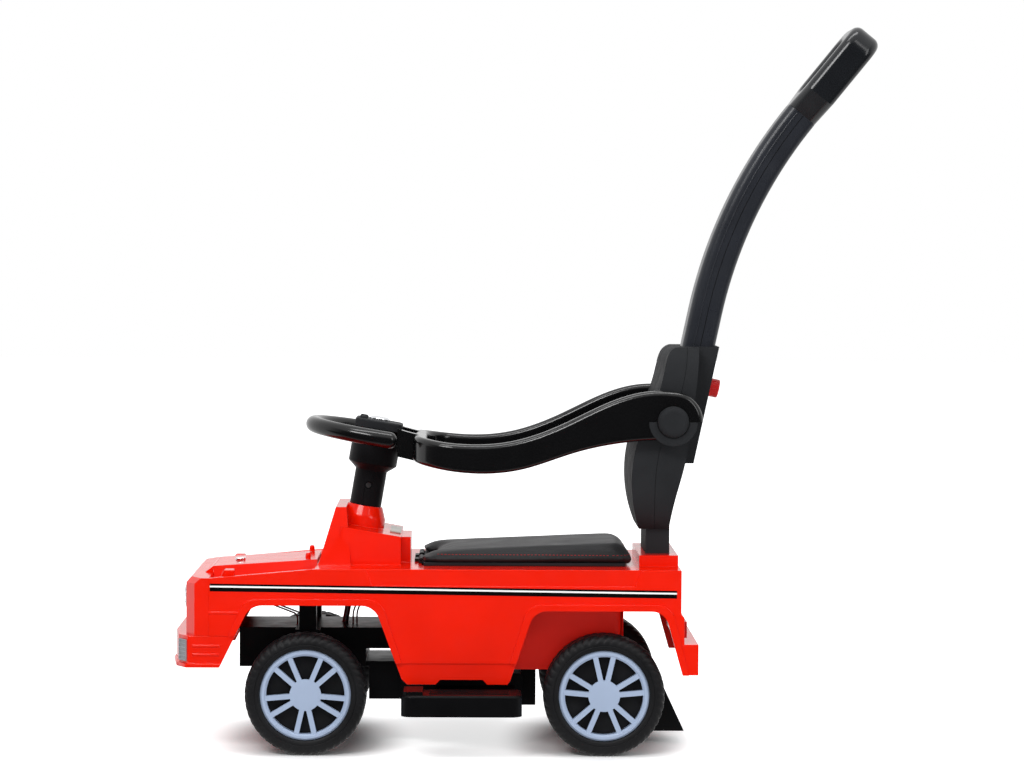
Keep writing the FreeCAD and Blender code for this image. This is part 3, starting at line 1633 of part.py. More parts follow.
def set_wheel(item, at_x, side, turn=0):
    """Put a wheel piece, built about its own axle with its face to +Y, on its side of the car."""
    facing = Rotation() if side > 0 else Rotation(Vector(0, 0, 1), 180)
    item.Placement = Placement(Vector(), facing.multiply(Rotation(Vector(0, 1, 0), turn)))
    return place(item, at_x, wheel_y * side, axle_z)


def make_tyre(label, at_x, side):
    body = new_body(label)
    revolve("Revolution", body, outline(body, "YZ_Plane", tyre_profile()), "H_Axis")
    keep(label, set_wheel(body, at_x, side))


def make_rim(label, at_x, side, turn):
    """Wheel cover: beaded ring, domed disc and paired spokes."""
    body = new_body(label)
    face = dim.wheel_width / 2 - dim.rim_recess
    bevel = dim.rim_ring_bevel
    inside = dim.rim_radius - dim.rim_ring
    ring = [
        (dim.web_face, inside),
        (dim.web_face, dim.rim_radius),
        (face - bevel, dim.rim_radius),
        (face, dim.rim_radius - bevel),
        (face, inside + bevel),
        (face - bevel, inside),
    ]
    revolve("Revolution", body, outline(body, "YZ_Plane", ring), "H_Axis")
    front = face - dim.spoke_recess
    half = dim.spoke_width / 2
    arms = []
    for way in (1, -1):
        spoke = [(-half, ZERO), (-half, inside + bevel), (half, inside + bevel), (half, ZERO)]
        sketch = outline(body, "XZ_Plane", spoke, -front, None, dim.spoke_half_angle * way)
        arms.append(pad(body, sketch, dim.spoke_depth))
    doc.recompute()
    spokes = body.newObject("PartDesign::PolarPattern", label + "_spokes")
    spokes.Originals = arms
    spokes.Axis = (body.Origin.OriginFeatures[1], [""])
    spokes.Angle = 360
    bind(spokes, "Occurrences", dim.spoke_pair_count)
    body.Tip = spokes
    disc_back = front - dim.rim_disc_wall
    disc = [
        (disc_back, ZERO),
        (disc_back, dim.rim_disc_radius),
        (front, dim.rim_disc_radius),
        (front + dim.rim_disc_rise, dim.rim_disc_radius / 2),
        (front + dim.rim_disc_rise, ZERO),
    ]
    revolve("Revolution", body, outline(body, "YZ_Plane", disc), "H_Axis")
    hollow = [
        (ZERO, ZERO),
        (ZERO, dim.hub_radius + dim.running_clearance),
        (disc_back, dim.hub_radius + dim.running_clearance),
        (disc_back, ZERO),
    ]
    revolve("Groove", body, outline(body, "YZ_Plane", hollow), "H_Axis")
    keep(label, set_wheel(body, at_x, side, turn))


def make_wheels():
    corners = [
        ("front_left", front_axle_x, -1),
        ("front_right", front_axle_x, 1),
        ("rear_left", dim.rear_axle_x, -1),
        ("rear_right", dim.rear_axle_x, 1),
    ]
    for corner, at_x, side in corners:
        turn = dim.front_wheel_turn_angle.value if "front" in corner else 0
        make_tyre("tyre_" + corner, at_x, side)
        make_rim("rim_" + corner, at_x, side, turn)
    rear_caps = [
        make_axle_cap("rear_cap_left", dim.rear_axle_x, -1),
        make_axle_cap("rear_cap_right", dim.rear_axle_x, 1),
    ]
    keep("rear_axle_caps", group("rear_axle_caps", rear_caps))
    for name, side in (("left", -1), ("right", 1)):
        label = "front_axle_cap_" + name
        keep(label, make_axle_cap(label, front_axle_x, side))


def make_footrest(side_name, side):
    """Step with rounded corners and grip ribs, on a tongue that slides in the tray."""
    body = new_body("footrest_" + side_name)
    front = front_axle_x + dim.footrest_front
    rear = front_axle_x + dim.footrest_rear
    inner = half_width + dim.footrest_gap
    outer = dim.footrest_outer
    low = dim.footrest_top - dim.footrest_thick
    step = [(front, inner * side), (rear, inner * side), (rear, outer * side), (front, outer * side)]
    pad(body, outline(body, "XY_Plane", step, low), dim.footrest_thick)
    soften("Fillet", body, dim.footrest_corner, along_z([(front, outer * side), (rear, outer * side)]))
    soften("Fillet", body, dim.footrest_round, on_plane("z", dim.footrest_top))
    wall = dim.shell_wall
    space = [
        (front + wall, (inner + wall) * side),
        (rear - wall, (inner + wall) * side),
        (rear - wall, (outer - wall - dim.footrest_corner / 2) * side),
        (front + wall, (outer - wall - dim.footrest_corner / 2) * side),
    ]
    depth = dim.footrest_thick - wall - dim.footrest_round / 2
    pocket(body, outline(body, "XY_Plane", space, low - dim.overlap), depth + dim.overlap, False, True)
    tray_front = front_axle_x + dim.tray_front + dim.tray_block + dim.slot_margin + dim.running_clearance
    tray_rear = front_axle_x + dim.tray_rear - dim.slot_margin - dim.running_clearance
    reach = dim.footrest_travel + dim.tongue_inner
    tongue = [
        (tray_front, reach * side),
        (tray_rear, reach * side),
        (tray_rear, (inner + dim.overlap) * side),
        (tray_front, (inner + dim.overlap) * side),
    ]
    pad(body, outline(body, "XY_Plane", tongue, low + dim.tongue_lift), dim.tongue_height)
    inset = dim.step_block_inset
    block = [
        (front + inset, (inner + inset) * side),
        (front + dim.step_block_length, (inner + inset) * side),
        (front + dim.step_block_length, (outer - inset * 2) * side),
        (front + inset * 2, (outer - inset * 2) * side),
        (front + inset, (outer - inset * 3) * side),
    ]
    lift = dim.step_block_rise + dim.overlap
    pad(body, outline(body, "XY_Plane", block, dim.footrest_top - dim.overlap), lift)
    margin = dim.tread_rib_margin
    start_x = front + dim.step_block_length + margin / 2
    pitch = (outer - inner - margin * 2) / (dim.tread_rib_count - 1)
    ribs = attach(body, "XY_Plane", dim.footrest_top - dim.overlap)
    for index in range(COUNTS["tread_rib_count"]):
        start = inner + margin + pitch * index - dim.tread_rib / 2
        add_polygon(ribs, [
            (start_x, start * side),
            (rear - margin, start * side),
            (rear - margin, (start + dim.tread_rib) * side),
            (start_x, (start + dim.tread_rib) * side),
        ])
    pad(body, ribs, dim.overlap + dim.tread_rib_rise)
    keep("footrest_" + side_name, body)


def hinge_spans(moving):
    """Lengths of the seat hinge along its pin that belong to the lid or to the fixed leaf."""
    step = dim.hinge_knuckle
    gap = dim.running_clearance
    if moving:
        return [(dim.hinge_half - step, dim.hinge_half)]
    return [(dim.hinge_half - step * 2, dim.hinge_half - step - gap)]


def hinge_axis():
    return seat_front_x + dim.hinge_radius, deck_z + dim.hinge_radius + dim.running_clearance


def hinge_barrels(label, moving):
    axis_x, axis_z = hinge_axis()
    pieces = []
    for low, high in hinge_spans(moving):
        barrel = cylinder(label + "_barrel", dim.hinge_radius, high - low, (axis_x, low, axis_z), ALONG_Y)
        pieces += [barrel, mirror(barrel)]
    return pieces


def hinge_bore(label, gap):
    axis_x, axis_z = hinge_axis()
    return cylinder(label + "_bore", dim.hinge_pin_radius + gap, dim.hinge_half * 2, (axis_x, -dim.hinge_half, axis_z),
                    ALONG_Y)


def make_seat_hinge():
    """Fixed leaf on the deck behind the dash, with the pin."""
    axis_x, axis_z = hinge_axis()
    low, high = hinge_spans(False)[0]
    start = axis_x - dim.hinge_radius - dim.hinge_leaf_reach
    plate = box("leaf_plate", (start, -high, deck_z),
                (axis_x, high, deck_z + dim.hinge_leaf))
    web = box("leaf_web", (start, low, deck_z), (axis_x, high, axis_z))
    whole = fuse("leaf_whole", [plate, web, mirror(web)] + hinge_barrels("leaf", False))
    keep("seat_hinge_leaf", cut("seat_hinge_leaf", whole, hinge_bore("leaf", ZERO)))
    keep("seat_hinge_pin", cylinder("seat_hinge_pin", dim.hinge_pin_radius, dim.hinge_half * 2,
                                    (axis_x, -dim.hinge_half, axis_z), ALONG_Y))


def make_seat_lid():
    """Board under the cushion with the moving half of the hinge."""
    axis_x, axis_z = hinge_axis()
    half = dim.seat_width / 2 - dim.cushion_draw
    low = deck_z + dim.running_clearance
    front = axis_x + dim.hinge_radius + dim.running_clearance
    board = box("lid_board", (front, -half, low), (seat_rear_x - dim.cushion_draw, half, low + dim.lid_thick))
    span_low, span_high = hinge_spans(True)[0]
    arm = box("lid_arm", (axis_x, span_low, axis_z - dim.hinge_radius),
              (front + dim.overlap, span_high, low + dim.lid_thick))
    whole = fuse("lid_whole", [board, arm, mirror(arm)] + hinge_barrels("lid", True))
    keep("seat_lid", cut("seat_lid", whole, hinge_bore("lid", dim.running_clearance)))


def cushion_section(inset, height_front, height_rear):
    """Closed rounded outline of the cushion at one level, tilted from front to rear."""
    front = number(seat_front_x) + inset
    rear = number(seat_rear_x) - inset
    half = dim.seat_width.value / 2 - inset
    corner = dim.cushion_corner.value - inset / 2
    slope = (height_rear - height_front) / (rear - front)

    def spot(x, y):
        return Vector(x, y, height_front + slope * (x - front))

    turn = corner * (1 - math.sqrt(0.5))
    edges = []
    corners = [(front, -half), (rear, -half), (rear, half), (front, half)]
    signs = [(1, 1), (-1, 1), (-1, -1), (1, -1)]
    for index in range(4):
        x, y = corners[index]
        next_x, next_y = corners[(index + 1) % 4]
        along_x = index % 2 == 0
        step_x = math.copysign(corner, next_x - x) if along_x else 0
        step_y = 0 if along_x else math.copysign(corner, next_y - y)
        first = spot(x + step_x, y + step_y)
        second = spot(next_x - step_x, next_y - step_y)
        edges.append(Part.LineSegment(first, second).toShape())
        far = signs[(index + 1) % 4]
        out_x, out_y = (0, corner * far[1]) if along_x else (corner * far[0], 0)
        end = spot(next_x + out_x, next_y + out_y)
        middle = spot(next_x + turn * far[0], next_y + turn * far[1])
        edges.append(Part.Arc(spot(next_x - step_x, next_y - step_y), middle, end).toShape())
    return Part.Wire(edges)


def make_seat_cushion():
    """Padded cover: drawn in at the board, full at the seam and crowned on top, higher at the rear."""
    low = deck_z.value + dim.running_clearance.value + dim.lid_thick.value
    draw = dim.cushion_draw.value
    front = dim.cushion_front_height.value
    rear = dim.cushion_rear_height.value
    seam = dim.cushion_seam_height.value
    axis_clear = dim.hinge_radius.value * 2 + dim.running_clearance.value * 2
    levels = [
        cushion_section(axis_clear, low, low),
        cushion_section(0, low + seam / 2, low + seam / 2),
        cushion_section(draw / 4, low + seam, low + seam),
        cushion_section(draw * 4, low + front, low + rear),
    ]
    padding = Part.makeLoft(levels, True, True)
    notch = Part.makeBox(dim.cushion_notch_depth.value * 2, dim.cushion_notch_half.value * 2, rear * 2,
                         Vector(number(seat_front_x) - dim.cushion_notch_depth.value, -dim.cushion_notch_half.value,
                                low - rear / 2))
    axis_x, axis_z = hinge_axis()
    room = Part.makeCylinder(dim.hinge_radius.value + dim.running_clearance.value, dim.seat_width.value,
                             Vector(number(axis_x), -dim.seat_width.value / 2, number(axis_z)), Vector(0, 1, 0))
    keep("seat_cushion", solid("seat_cushion", padding.cut(notch).cut(room)))


def make_steering_column():
    """Tube, hub cup, bush and side screw on the steering axis."""
    bush = on_steering_axis(tube_upright("steering_bush", dim.bush_bore, dim.shaft_radius + dim.running_clearance,
                                         dim.steering_bush_length, dim.boss_length - dim.steering_bush_length))
    keep("steering_bush", bush)
    column = new_body("steering_column")
    start = dim.boss_length + dim.running_clearance
    inner = dim.column_radius - dim.column_wall
    top = dim.cup_start + dim.cup_length
    wall = [
        (inner, start),
        (dim.column_radius, start),
        (dim.column_radius, dim.cup_start),
        (dim.cup_radius, dim.cup_start + dim.cup_flare),
        (dim.cup_radius, top),
        (dim.shaft_radius, top),
        (dim.shaft_radius, dim.cup_start),
        (inner, dim.cup_start),
    ]
    revolve("Revolution", column, outline(column, "XZ_Plane", wall))
    rim = dim.cup_flare / 3
    soften("Fillet", column, rim, lambda edge: near(edge.BoundBox.XMax, dim.cup_radius) and edge.Closed)
    recess = attach(column, "XZ_Plane", dim.column_radius - dim.screw_recess)
    add_circle(recess, (ZERO, dim.screw_station), dim.screw_head_radius + dim.screw_play)
    pocket(column, recess, dim.overrun, False, True)
    hole = attach(column, "XZ_Plane", inner - dim.overrun)
    add_circle(hole, (ZERO, dim.screw_station), dim.screw_head_radius / 2)
    pocket(column, hole, dim.overrun * 2, False, True)
    keep("steering_column", on_steering_axis(column))

    screw = new_body("column_screw")
    seat = dim.column_radius - dim.screw_recess
    head = attach(screw, "XZ_Plane", seat)
    add_circle(head, (ZERO, dim.screw_station), dim.screw_head_radius)
    pad(screw, head, dim.screw_head_height)
    shank = attach(screw, "XZ_Plane", seat + dim.overlap / 2)
    add_circle(shank, (ZERO, dim.screw_station), dim.screw_head_radius / 2)
    pad(screw, shank, dim.screw_length, False, True)
    keep("column_screw", on_steering_axis(screw))


def tube_upright(label, outer, inner, length, low):
    return tube(label, outer, inner, length, (ZERO, ZERO, low))


def make_steering_wheel():
    """Open-backed ring with rounded ends and three spokes on the hub cup."""
    level = dim.wheel_station
    ring = doc.addObject("Part::Torus", "wheel_ring")
    bind(ring, "Radius1", dim.wheel_ring_radius)
    bind(ring, "Radius2", dim.wheel_ring_thick)
    bind(ring, "Angle3", Size(360, "360") - dim.wheel_gap_angle * 2)
    ring.Placement = Placement(Vector(), Rotation(Vector(0, 0, 1), dim.wheel_gap_angle.value))
    bind(ring, "Placement.Rotation.Angle", dim.wheel_gap_angle)
    place(ring, ZERO, ZERO, level)
    pieces = [ring]
    for side in (1, -1):
        end = doc.addObject("Part::Sphere", "wheel_end")
        bind(end, "Radius", dim.wheel_ring_thick)
        reach = dim.wheel_ring_radius
        place(end, reach * cosine(dim.wheel_gap_angle), reach * sine(dim.wheel_gap_angle) * side, level)
        pieces.append(end)
    half = dim.wheel_spoke_width / 2
    thick = dim.wheel_spoke_thick / 2
    reach = dim.wheel_ring_radius
    top = dim.cup_start + dim.cup_length
    pieces.append(box("wheel_cross_spoke", (-half, -reach, level - thick), (half, reach, level + thick)))
    pieces.append(box("wheel_front_spoke", (-reach, -half, level - thick), (ZERO, half, level + thick)))
    hub_radius = dim.cup_radius - dim.overlap
    pieces.append(cylinder("wheel_hub", hub_radius, dim.pad_station - top, (ZERO, ZERO, top)))
    keep("steering_wheel", on_steering_axis(fuse("steering_wheel", pieces)))


def make_hub_pad():
    """Rounded pad on the hub with wells for the horn and music buttons."""
    body = new_body("hub_pad")
    half_length = dim.pad_length / 2
    half = dim.pad_width / 2
    corners = mirrored_half([(-half_length, half), (half_length, half)])
    pad(body, outline(body, "XY_Plane", corners, dim.pad_station), dim.pad_height)
    soften("Fillet", body, dim.pad_round, along_z(corners))
    top = dim.pad_station + dim.pad_height
    soften("Fillet", body, dim.pad_round / 4, on_plane("z", top))
    horn = attach(body, "XY_Plane", top + dim.overlap)
    add_circle(horn, (ZERO, ZERO), dim.horn_radius + dim.button_clearance)
    pocket(body, horn, dim.horn_root + dim.horn_travel + dim.overlap + dim.button_clearance)
    music = attach(body, "XY_Plane", top + dim.overlap)
    for side in (1, -1):
        spot = (-dim.music_forward, dim.music_offset * side)
        add_circle(music, spot, dim.music_radius + dim.button_clearance)
    pocket(body, music, dim.music_root + dim.horn_travel + dim.overlap + dim.button_clearance)
    keep("hub_pad", on_steering_axis(body))
    button = domed_button("horn_button", dim.horn_radius, dim.horn_root, dim.horn_rise, ZERO, ZERO)
    keep("horn_button", button)
    for name, side in (("left", -1), ("right", 1)):
        button = domed_button("music_button_" + name, dim.music_radius, dim.music_root, dim.music_rise,
                              -dim.music_forward, dim.music_offset * side)
        keep("music_button_" + name, button)


def domed_button(label, radius, root, rise, at_x, at_y):
    body = new_body(label)
    top = dim.pad_station + dim.pad_height
    profile = [
        (ZERO, top - root),
        (radius, top - root),
        (radius, top + rise / 2),
        (radius * BUTTON_TOP_SHARE, top + rise),
        (ZERO, top + rise),
    ]
    sketch = outline(body, "XZ_Plane", [(at_x + x, z) for x, z in profile], -at_y)
    feature = body.newObject("PartDesign::Revolution", label + "_turned")
    feature.Profile = sketch
    feature.ReferenceAxis = (sketch, ["Edge%d" % len(profile)])
    feature.Angle = 360
    return on_steering_axis(body)


# Outlines of the freely curved pieces, as shares of their width and height
BACK_FRONT_SHARES = [
    (0.12, 0.0), (0.02, 0.16), (0.0, 0.28), (0.09, 0.51),
    (0.37, 0.78), (0.44, 0.90), (0.53, 0.985), (0.60, 1.0),
]
BACK_SEAM_SHARES = [(0.33, 0.0), (0.31, 0.24), (0.42, 0.52), (0.60, 0.70), (0.70, 0.86), (0.74, 1.0)]
BACK_REAR_SHARES = [(0.52, 0.0), (0.60, 0.20), (0.69, 0.34), (0.80, 0.62), (0.88, 0.90), (0.90, 1.0)]
BACK_FACE_SHARES = [(0.62, 0.0), (0.92, 0.14), (1.0, 0.34), (1.0, 0.72), (0.90, 0.93), (0.72, 1.0)]
GUARD_TOP_SHARES = [
    (0.0, 0.50), (0.14, 0.39), (0.27, 0.35), (0.40, 0.38), (0.60, 0.60), (0.80, 0.91), (1.0, 1.0),
]
GUARD_LOW_SHARES = [
    (0.0, 0.16), (0.12, 0.07), (0.28, 0.0), (0.46, 0.055), (0.64, 0.25), (0.80, 0.37), (1.0, 0.41),
]


def curved_face(low_edge, high_edge):
    """Face between two curved edges that run the same way, closed by straight ends."""
    first = smooth_edge(low_edge)
    second = smooth_edge(high_edge)
    start = Part.LineSegment(low_edge[0], high_edge[0]).toShape()
    end = Part.LineSegment(low_edge[-1], high_edge[-1]).toShape()
    return Part.Face(Part.Wire(Part.__sortEdges__([first, end, second, start])))


def slab(face, half):
    face = face.copy()
    face.translate(Vector(0, -half, 0))
    return face.extrude(Vector(0, half * 2, 0))


def backrest_outline(inset):
    """Front view of the backrest, narrower at the stem and rounded at the top, as a slab along X."""
    half = dim.backrest_width.value / 2 - inset
    low = backrest_low_z.value + inset
    height = dim.backrest_height.value - inset * 2
    right = [Vector(0, half * share[0], low + height * share[1]) for share in BACK_FACE_SHARES]
    left = [Vector(0, -spot.y, spot.z) for spot in right]
    sides = [smooth_edge(right), Part.LineSegment(right[-1], left[-1]).toShape(), smooth_edge(left),
             Part.LineSegment(left[0], right[0]).toShape()]
    face = Part.Face(Part.Wire(Part.__sortEdges__(sides)))
    face.translate(Vector(-dim.body_width.value / 2, 0, 0))
    return face.extrude(Vector(dim.body_width.value * 2, 0, 0))


def moved(points, x):
    return [spot + Vector(x, 0, 0) for spot in points]


def handle_line(height):
    """The x of the handle's straight centre line at a height."""
    slope = math.tan(math.radians(dim.handle_lean.value))
    return number(sleeve_x) - (handle_bend_z.value - height) * slope


def sleeve_block(half, depth, low, high):
    """Slanted box round the handle's lower end."""
    lean = math.tan(math.radians(dim.handle_lean.value))
    flat = depth / math.cos(math.radians(dim.handle_lean.value))
    corners = []
    for height, way in ((low, -1), (low, 1), (high, 1), (high, -1)):
        x = handle_line(height) + way * flat
        corners.append(Vector(x, 0, height))
    corners.append(corners[0])
    return slab(Part.Face(Part.makePolygon(corners)), half)


def make_backrest():
    """Front and rear moulded halves that meet at a seam, with pivot bosses, stem and handle sleeve."""
    low_x = number(dim.rear_axle_x + dim.backrest_front)
    low = backrest_low_z.value
    width = dim.backrest_depth.value
    height = dim.backrest_height.value
    half = dim.backrest_width.value / 2
    front_edge = shares_to_points(BACK_FRONT_SHARES, low_x, low, width, height)
    seam_edge = shares_to_points(BACK_SEAM_SHARES, low_x, low, width, height)
    rear_edge = shares_to_points(BACK_REAR_SHARES, low_x, low, width, height)
    gap = dim.backrest_seam_gap.value
    past = dim.overrun.value
    skin = dim.backrest_wall.value
    outside = backrest_outline(0)
    inside = backrest_outline(skin)
    front = slab(curved_face(front_edge, seam_edge), half).common(outside)
    front_space = slab(curved_face(moved(front_edge, skin), moved(seam_edge, past)), half).common(inside)
    rear = slab(curved_face(moved(seam_edge, gap), rear_edge), half).common(outside)
    rear_space = slab(curved_face(moved(seam_edge, gap - past), moved(rear_edge, -skin)), half).common(inside)
    wall = dim.sleeve_wall.value
    depth = dim.handle_depth.value / 2
    inner_half = dim.handle_width.value / 2
    top = low + height
    sleeve = sleeve_block(dim.sleeve_half.value, depth + wall, sleeve_low_z.value, top)
    play = dim.sleeve_clearance.value
    floor = handle_foot_z.value - depth * math.sin(math.radians(dim.handle_lean.value)) - play
    hollow = sleeve_block(inner_half + play, depth + play, floor, top + dim.overrun.value)
    stem_low = stem_low_z.value
    stem_x = number(dim.rear_axle_x + dim.stem_front)
    overlap = dim.overrun.value
    stem = Part.makeBox(dim.stem_depth.value, dim.stem_half.value * 2, low - stem_low + overlap,
                        Vector(stem_x, -dim.stem_half.value, stem_low))
    boss_start = half - dim.overrun.value
    boss_length = dim.pivot_length.value + dim.overrun.value
    bosses = [pivot_boss(boss_start, boss_length, side) for side in (1, -1)]
    front = front.cut(front_space)
    rear = rear.cut(rear_space).fuse([sleeve, stem] + bosses)
    well = button_well()
    rear = rear.cut([hollow, well]).removeSplitter()
    front = front.cut([sleeve, stem] + bosses).removeSplitter()
    front = largest(front)
    keep("backrest_front", solid("backrest_front", front))
    keep("backrest_rear", solid("backrest_rear", rear))


def pivot_boss(start, length, side):
    """Round boss with a domed end, which carries the guard."""
    foot = Vector(number(pivot_x), start * side, pivot_z.value)
    boss = Part.makeCylinder(dim.pivot_radius.value, length, foot, Vector(0, side, 0))
    end = (start + length) * side
    rim = [edge for edge in boss.Edges if edge.Closed and abs(edge.CenterOfMass.y - end) < length / 2]
    return boss.makeFillet(dim.pivot_dome.value, rim)


def largest(shape):
    return max(shape.Solids, key=lambda item: item.Volume)


def button_axis():
    """Middle of the sleeve's outer face at the button, and the way out of it."""
    lean = math.radians(dim.handle_lean.value)
    out = Vector(math.cos(lean), 0, -math.sin(lean))
    height = handle_foot_z.value + dim.button_station.value
    face = Vector(handle_line(height), 0, height) + out * (dim.handle_depth.value / 2 + dim.sleeve_wall.value)
    return face, out


def button_well():
    """Round hole in the sleeve's rear wall for the release button."""
    face, out = button_axis()
    depth = dim.sleeve_wall.value + dim.overrun.value
    radius = dim.button_radius.value + dim.button_clearance.value
    return Part.makeCylinder(radius, depth + dim.overrun.value, face - out * depth, out)


def make_release_button():
    """Round push button in the sleeve, hollow behind its face."""
    face, out = button_axis()
    back = dim.sleeve_wall.value - dim.running_clearance.value
    start = face - out * (back - dim.button_travel.value)
    length = back - dim.button_travel.value + dim.button_proud.value
    body = Part.makeCylinder(dim.button_radius.value, length, start, out)
    rim = [edge for edge in body.Edges if (edge.CenterOfMass - face).dot(out) > dim.button_proud.value / 2]
    body = body.makeFillet(dim.button_radius.value / 6, rim[:1])
    well_depth = length - dim.button_well.value
    well = Part.makeCylinder(dim.button_radius.value - dim.button_wall.value, well_depth, start, out)
    keep("release_button", solid("release_button", body.cut(well)))


def guard_plan():
    """Plan of the guard: a ring open at the rear, with two prongs beside the steering hub."""
    inner = dim.backrest_width.value / 2 + dim.guard_side_gap.value
    outer = inner + dim.guard_thick.value
    ring_x = number(wheel_centre_x()) + dim.guard_front_gap.value
    radius = dim.guard_front_radius.value
    rear = number(pivot_x) + dim.guard_eye_radius.value + dim.overrun.value
    thick = dim.guard_thick.value
    outside = rounded_arch(ring_x, rear, outer, radius)
    inside = rounded_arch(ring_x + thick, rear + dim.overrun.value, inner, radius - thick)
    height = pivot_z.value * 2
    plan = outside.extrude(Vector(0, 0, height)).cut(inside.extrude(Vector(0, 0, height)))
    for side in (1, -1):
        inner_y = dim.guard_prong_inner.value
        low_y = inner_y if side > 0 else -inner_y - dim.guard_prong_width.value
        prong = Part.makeBox(dim.guard_prong_reach.value + thick / 2, dim.guard_prong_width.value, height,
                             Vector(ring_x - dim.guard_prong_reach.value, low_y, 0))
        plan = plan.fuse(prong)
    return plan, ring_x - dim.guard_prong_reach.value


def wheel_centre_x():
    return steering_x + dim.wheel_station * sine(dim.steering_tilt)


def rounded_arch(front, rear, half, radius):
    """Flat face of a bar bent round its front corners, open shape closed straight at the rear."""
    bow = radius * (1 - math.sqrt(0.5))
    edges = []
    corner = [Vector(rear, half, 0), Vector(front + radius, half, 0), Vector(front + bow, half - bow, 0),
              Vector(front, half - radius, 0)]
    edges.append(Part.LineSegment(corner[0], corner[1]).toShape())
    edges.append(Part.Arc(corner[1], corner[2], corner[3]).toShape())
    other = [Vector(spot.x, -spot.y, 0) for spot in corner]
    edges.append(Part.LineSegment(corner[3], other[3]).toShape())
    edges.append(Part.Arc(other[3], other[2], other[1]).toShape())
    edges.append(Part.LineSegment(other[1], other[0]).toShape())
    edges.append(Part.LineSegment(other[0], corner[0]).toShape())
    return Part.Face(Part.Wire(Part.__sortEdges__(edges)))


def is_upright(edge):
    """True for the short level-to-level edges of a bent bar."""
    span = edge.BoundBox
    return span.XLength < dim.guard_round.value and span.YLength < dim.guard_round.value


def make_guard():
    """Bent guard bar hooked over the backrest bosses, with clips that close the hooks below."""
    plan, front = guard_plan()
    centre = Vector(number(pivot_x), 0, pivot_z.value)
    eye = dim.guard_eye_radius.value
    clip = dim.guard_clip_radius.value
    bore = dim.pivot_radius.value + dim.running_clearance.value
    top = centre.z + dim.guard_top_drop.value
    low = top - dim.guard_height.value
    width = centre.x - front
    top_edge = shares_to_points(GUARD_TOP_SHARES, front, low, width, dim.guard_height.value)
    low_edge = shares_to_points(GUARD_LOW_SHARES, front, low, width, dim.guard_height.value)
    wide = dim.body_width.value
    side_view = slab(curved_face(low_edge, top_edge), wide)
    across = Vector(0, wide * 2, 0)
    start = centre - Vector(0, wide, 0)

    def disc(radius):
        return Part.makeCylinder(radius, across.Length, start, Vector(0, 1, 0))

    corner = Vector(centre.x - eye * 2, -wide, centre.z - eye * 2)
    lower_half = Part.makeBox(eye * 4, across.Length, eye * 2, corner)
    upper_eye = disc(eye).cut(lower_half)
    lower_clip = disc(clip).common(lower_half)
    ring = side_view.cut(lower_clip).fuse(upper_eye).cut(disc(bore))
    bar = largest(ring.common(plan).removeSplitter())
    least = dim.guard_thick.value * 2
    long_edges = [edge for edge in bar.Edges if edge.Length > least and not is_upright(edge)]
    keep("guard_bar", solid("guard_bar", bar.makeFillet(dim.guard_round.value, long_edges)))
    clips = lower_clip.cut(disc(bore)).common(plan)
    keep("guard_clips", solid("guard_clips", Part.makeCompound(clips.Solids)))


def handle_path(lift):
    """Straight foot raised by the lift, then one long bend, in the middle plane."""
    lean = math.radians(dim.handle_lean.value)
    turn = math.radians(dim.handle_bend_angle.value)
    radius = dim.handle_bend_radius.value
    foot = Vector(handle_line(handle_foot_z.value), 0, handle_foot_z.value)
    foot += Vector(math.sin(lean), 0, math.cos(lean)) * lift
    start = Vector(number(sleeve_x), 0, handle_bend_z.value)
    centre = start + Vector(math.cos(lean), 0, -math.sin(lean)) * radius

    def on_bend(angle):
        return centre - Vector(math.cos(lean + angle), 0, -math.sin(lean + angle)) * radius

    end = on_bend(turn)
    heading = Vector(math.sin(lean + turn), 0, math.cos(lean + turn))
    bend = Part.Arc(start, on_bend(turn / 2), end).toShape()
    wire = Part.Wire([Part.LineSegment(foot, start).toShape(), bend])
    return wire, foot, end, heading


def rounded_rectangle(half_x, half_y, radius):
    """Closed outline round the origin in the XY plane, with arcs at the corners."""
    bow = radius * (1 - math.sqrt(0.5))
    edges = []
    for sign_x, sign_y in ((1, 1), (-1, 1), (-1, -1), (1, -1)):
        first = Vector(sign_x * half_x, sign_y * (half_y - radius), 0)
        second = Vector(sign_x * (half_x - radius), sign_y * half_y, 0)
        middle = Vector(sign_x * (half_x - bow), sign_y * (half_y - bow), 0)
        edges.append(Part.Arc(first, middle, second).toShape())
    for sign in (1, -1):
        edges.append(Part.LineSegment(Vector(half_x - radius, sign * half_y, 0),
                                      Vector(radius - half_x, sign * half_y, 0)).toShape())
        edges.append(Part.LineSegment(Vector(sign * half_x, half_y - radius, 0),
                                      Vector(sign * half_x, radius - half_y, 0)).toShape())
    return Part.Wire(Part.__sortEdges__(edges))


def handle_section(foot, inset):
    """Outline of the stem square to its foot, or of the space inside when inset by the wall."""
    section = rounded_rectangle(dim.handle_depth.value / 2 - inset, dim.handle_width.value / 2 - inset,
                                dim.handle_round.value - inset)
    section.Placement = Placement(foot, Rotation(Vector(0, 1, 0), dim.handle_lean.value))
    return section


def handle_tube(inset):
    """The stem above its plug, or the space inside it when inset by the wall."""
    path, foot = handle_path(dim.plug_length.value + inset)[:2]
    return path.makePipeShell([handle_section(foot, inset)], True, False)


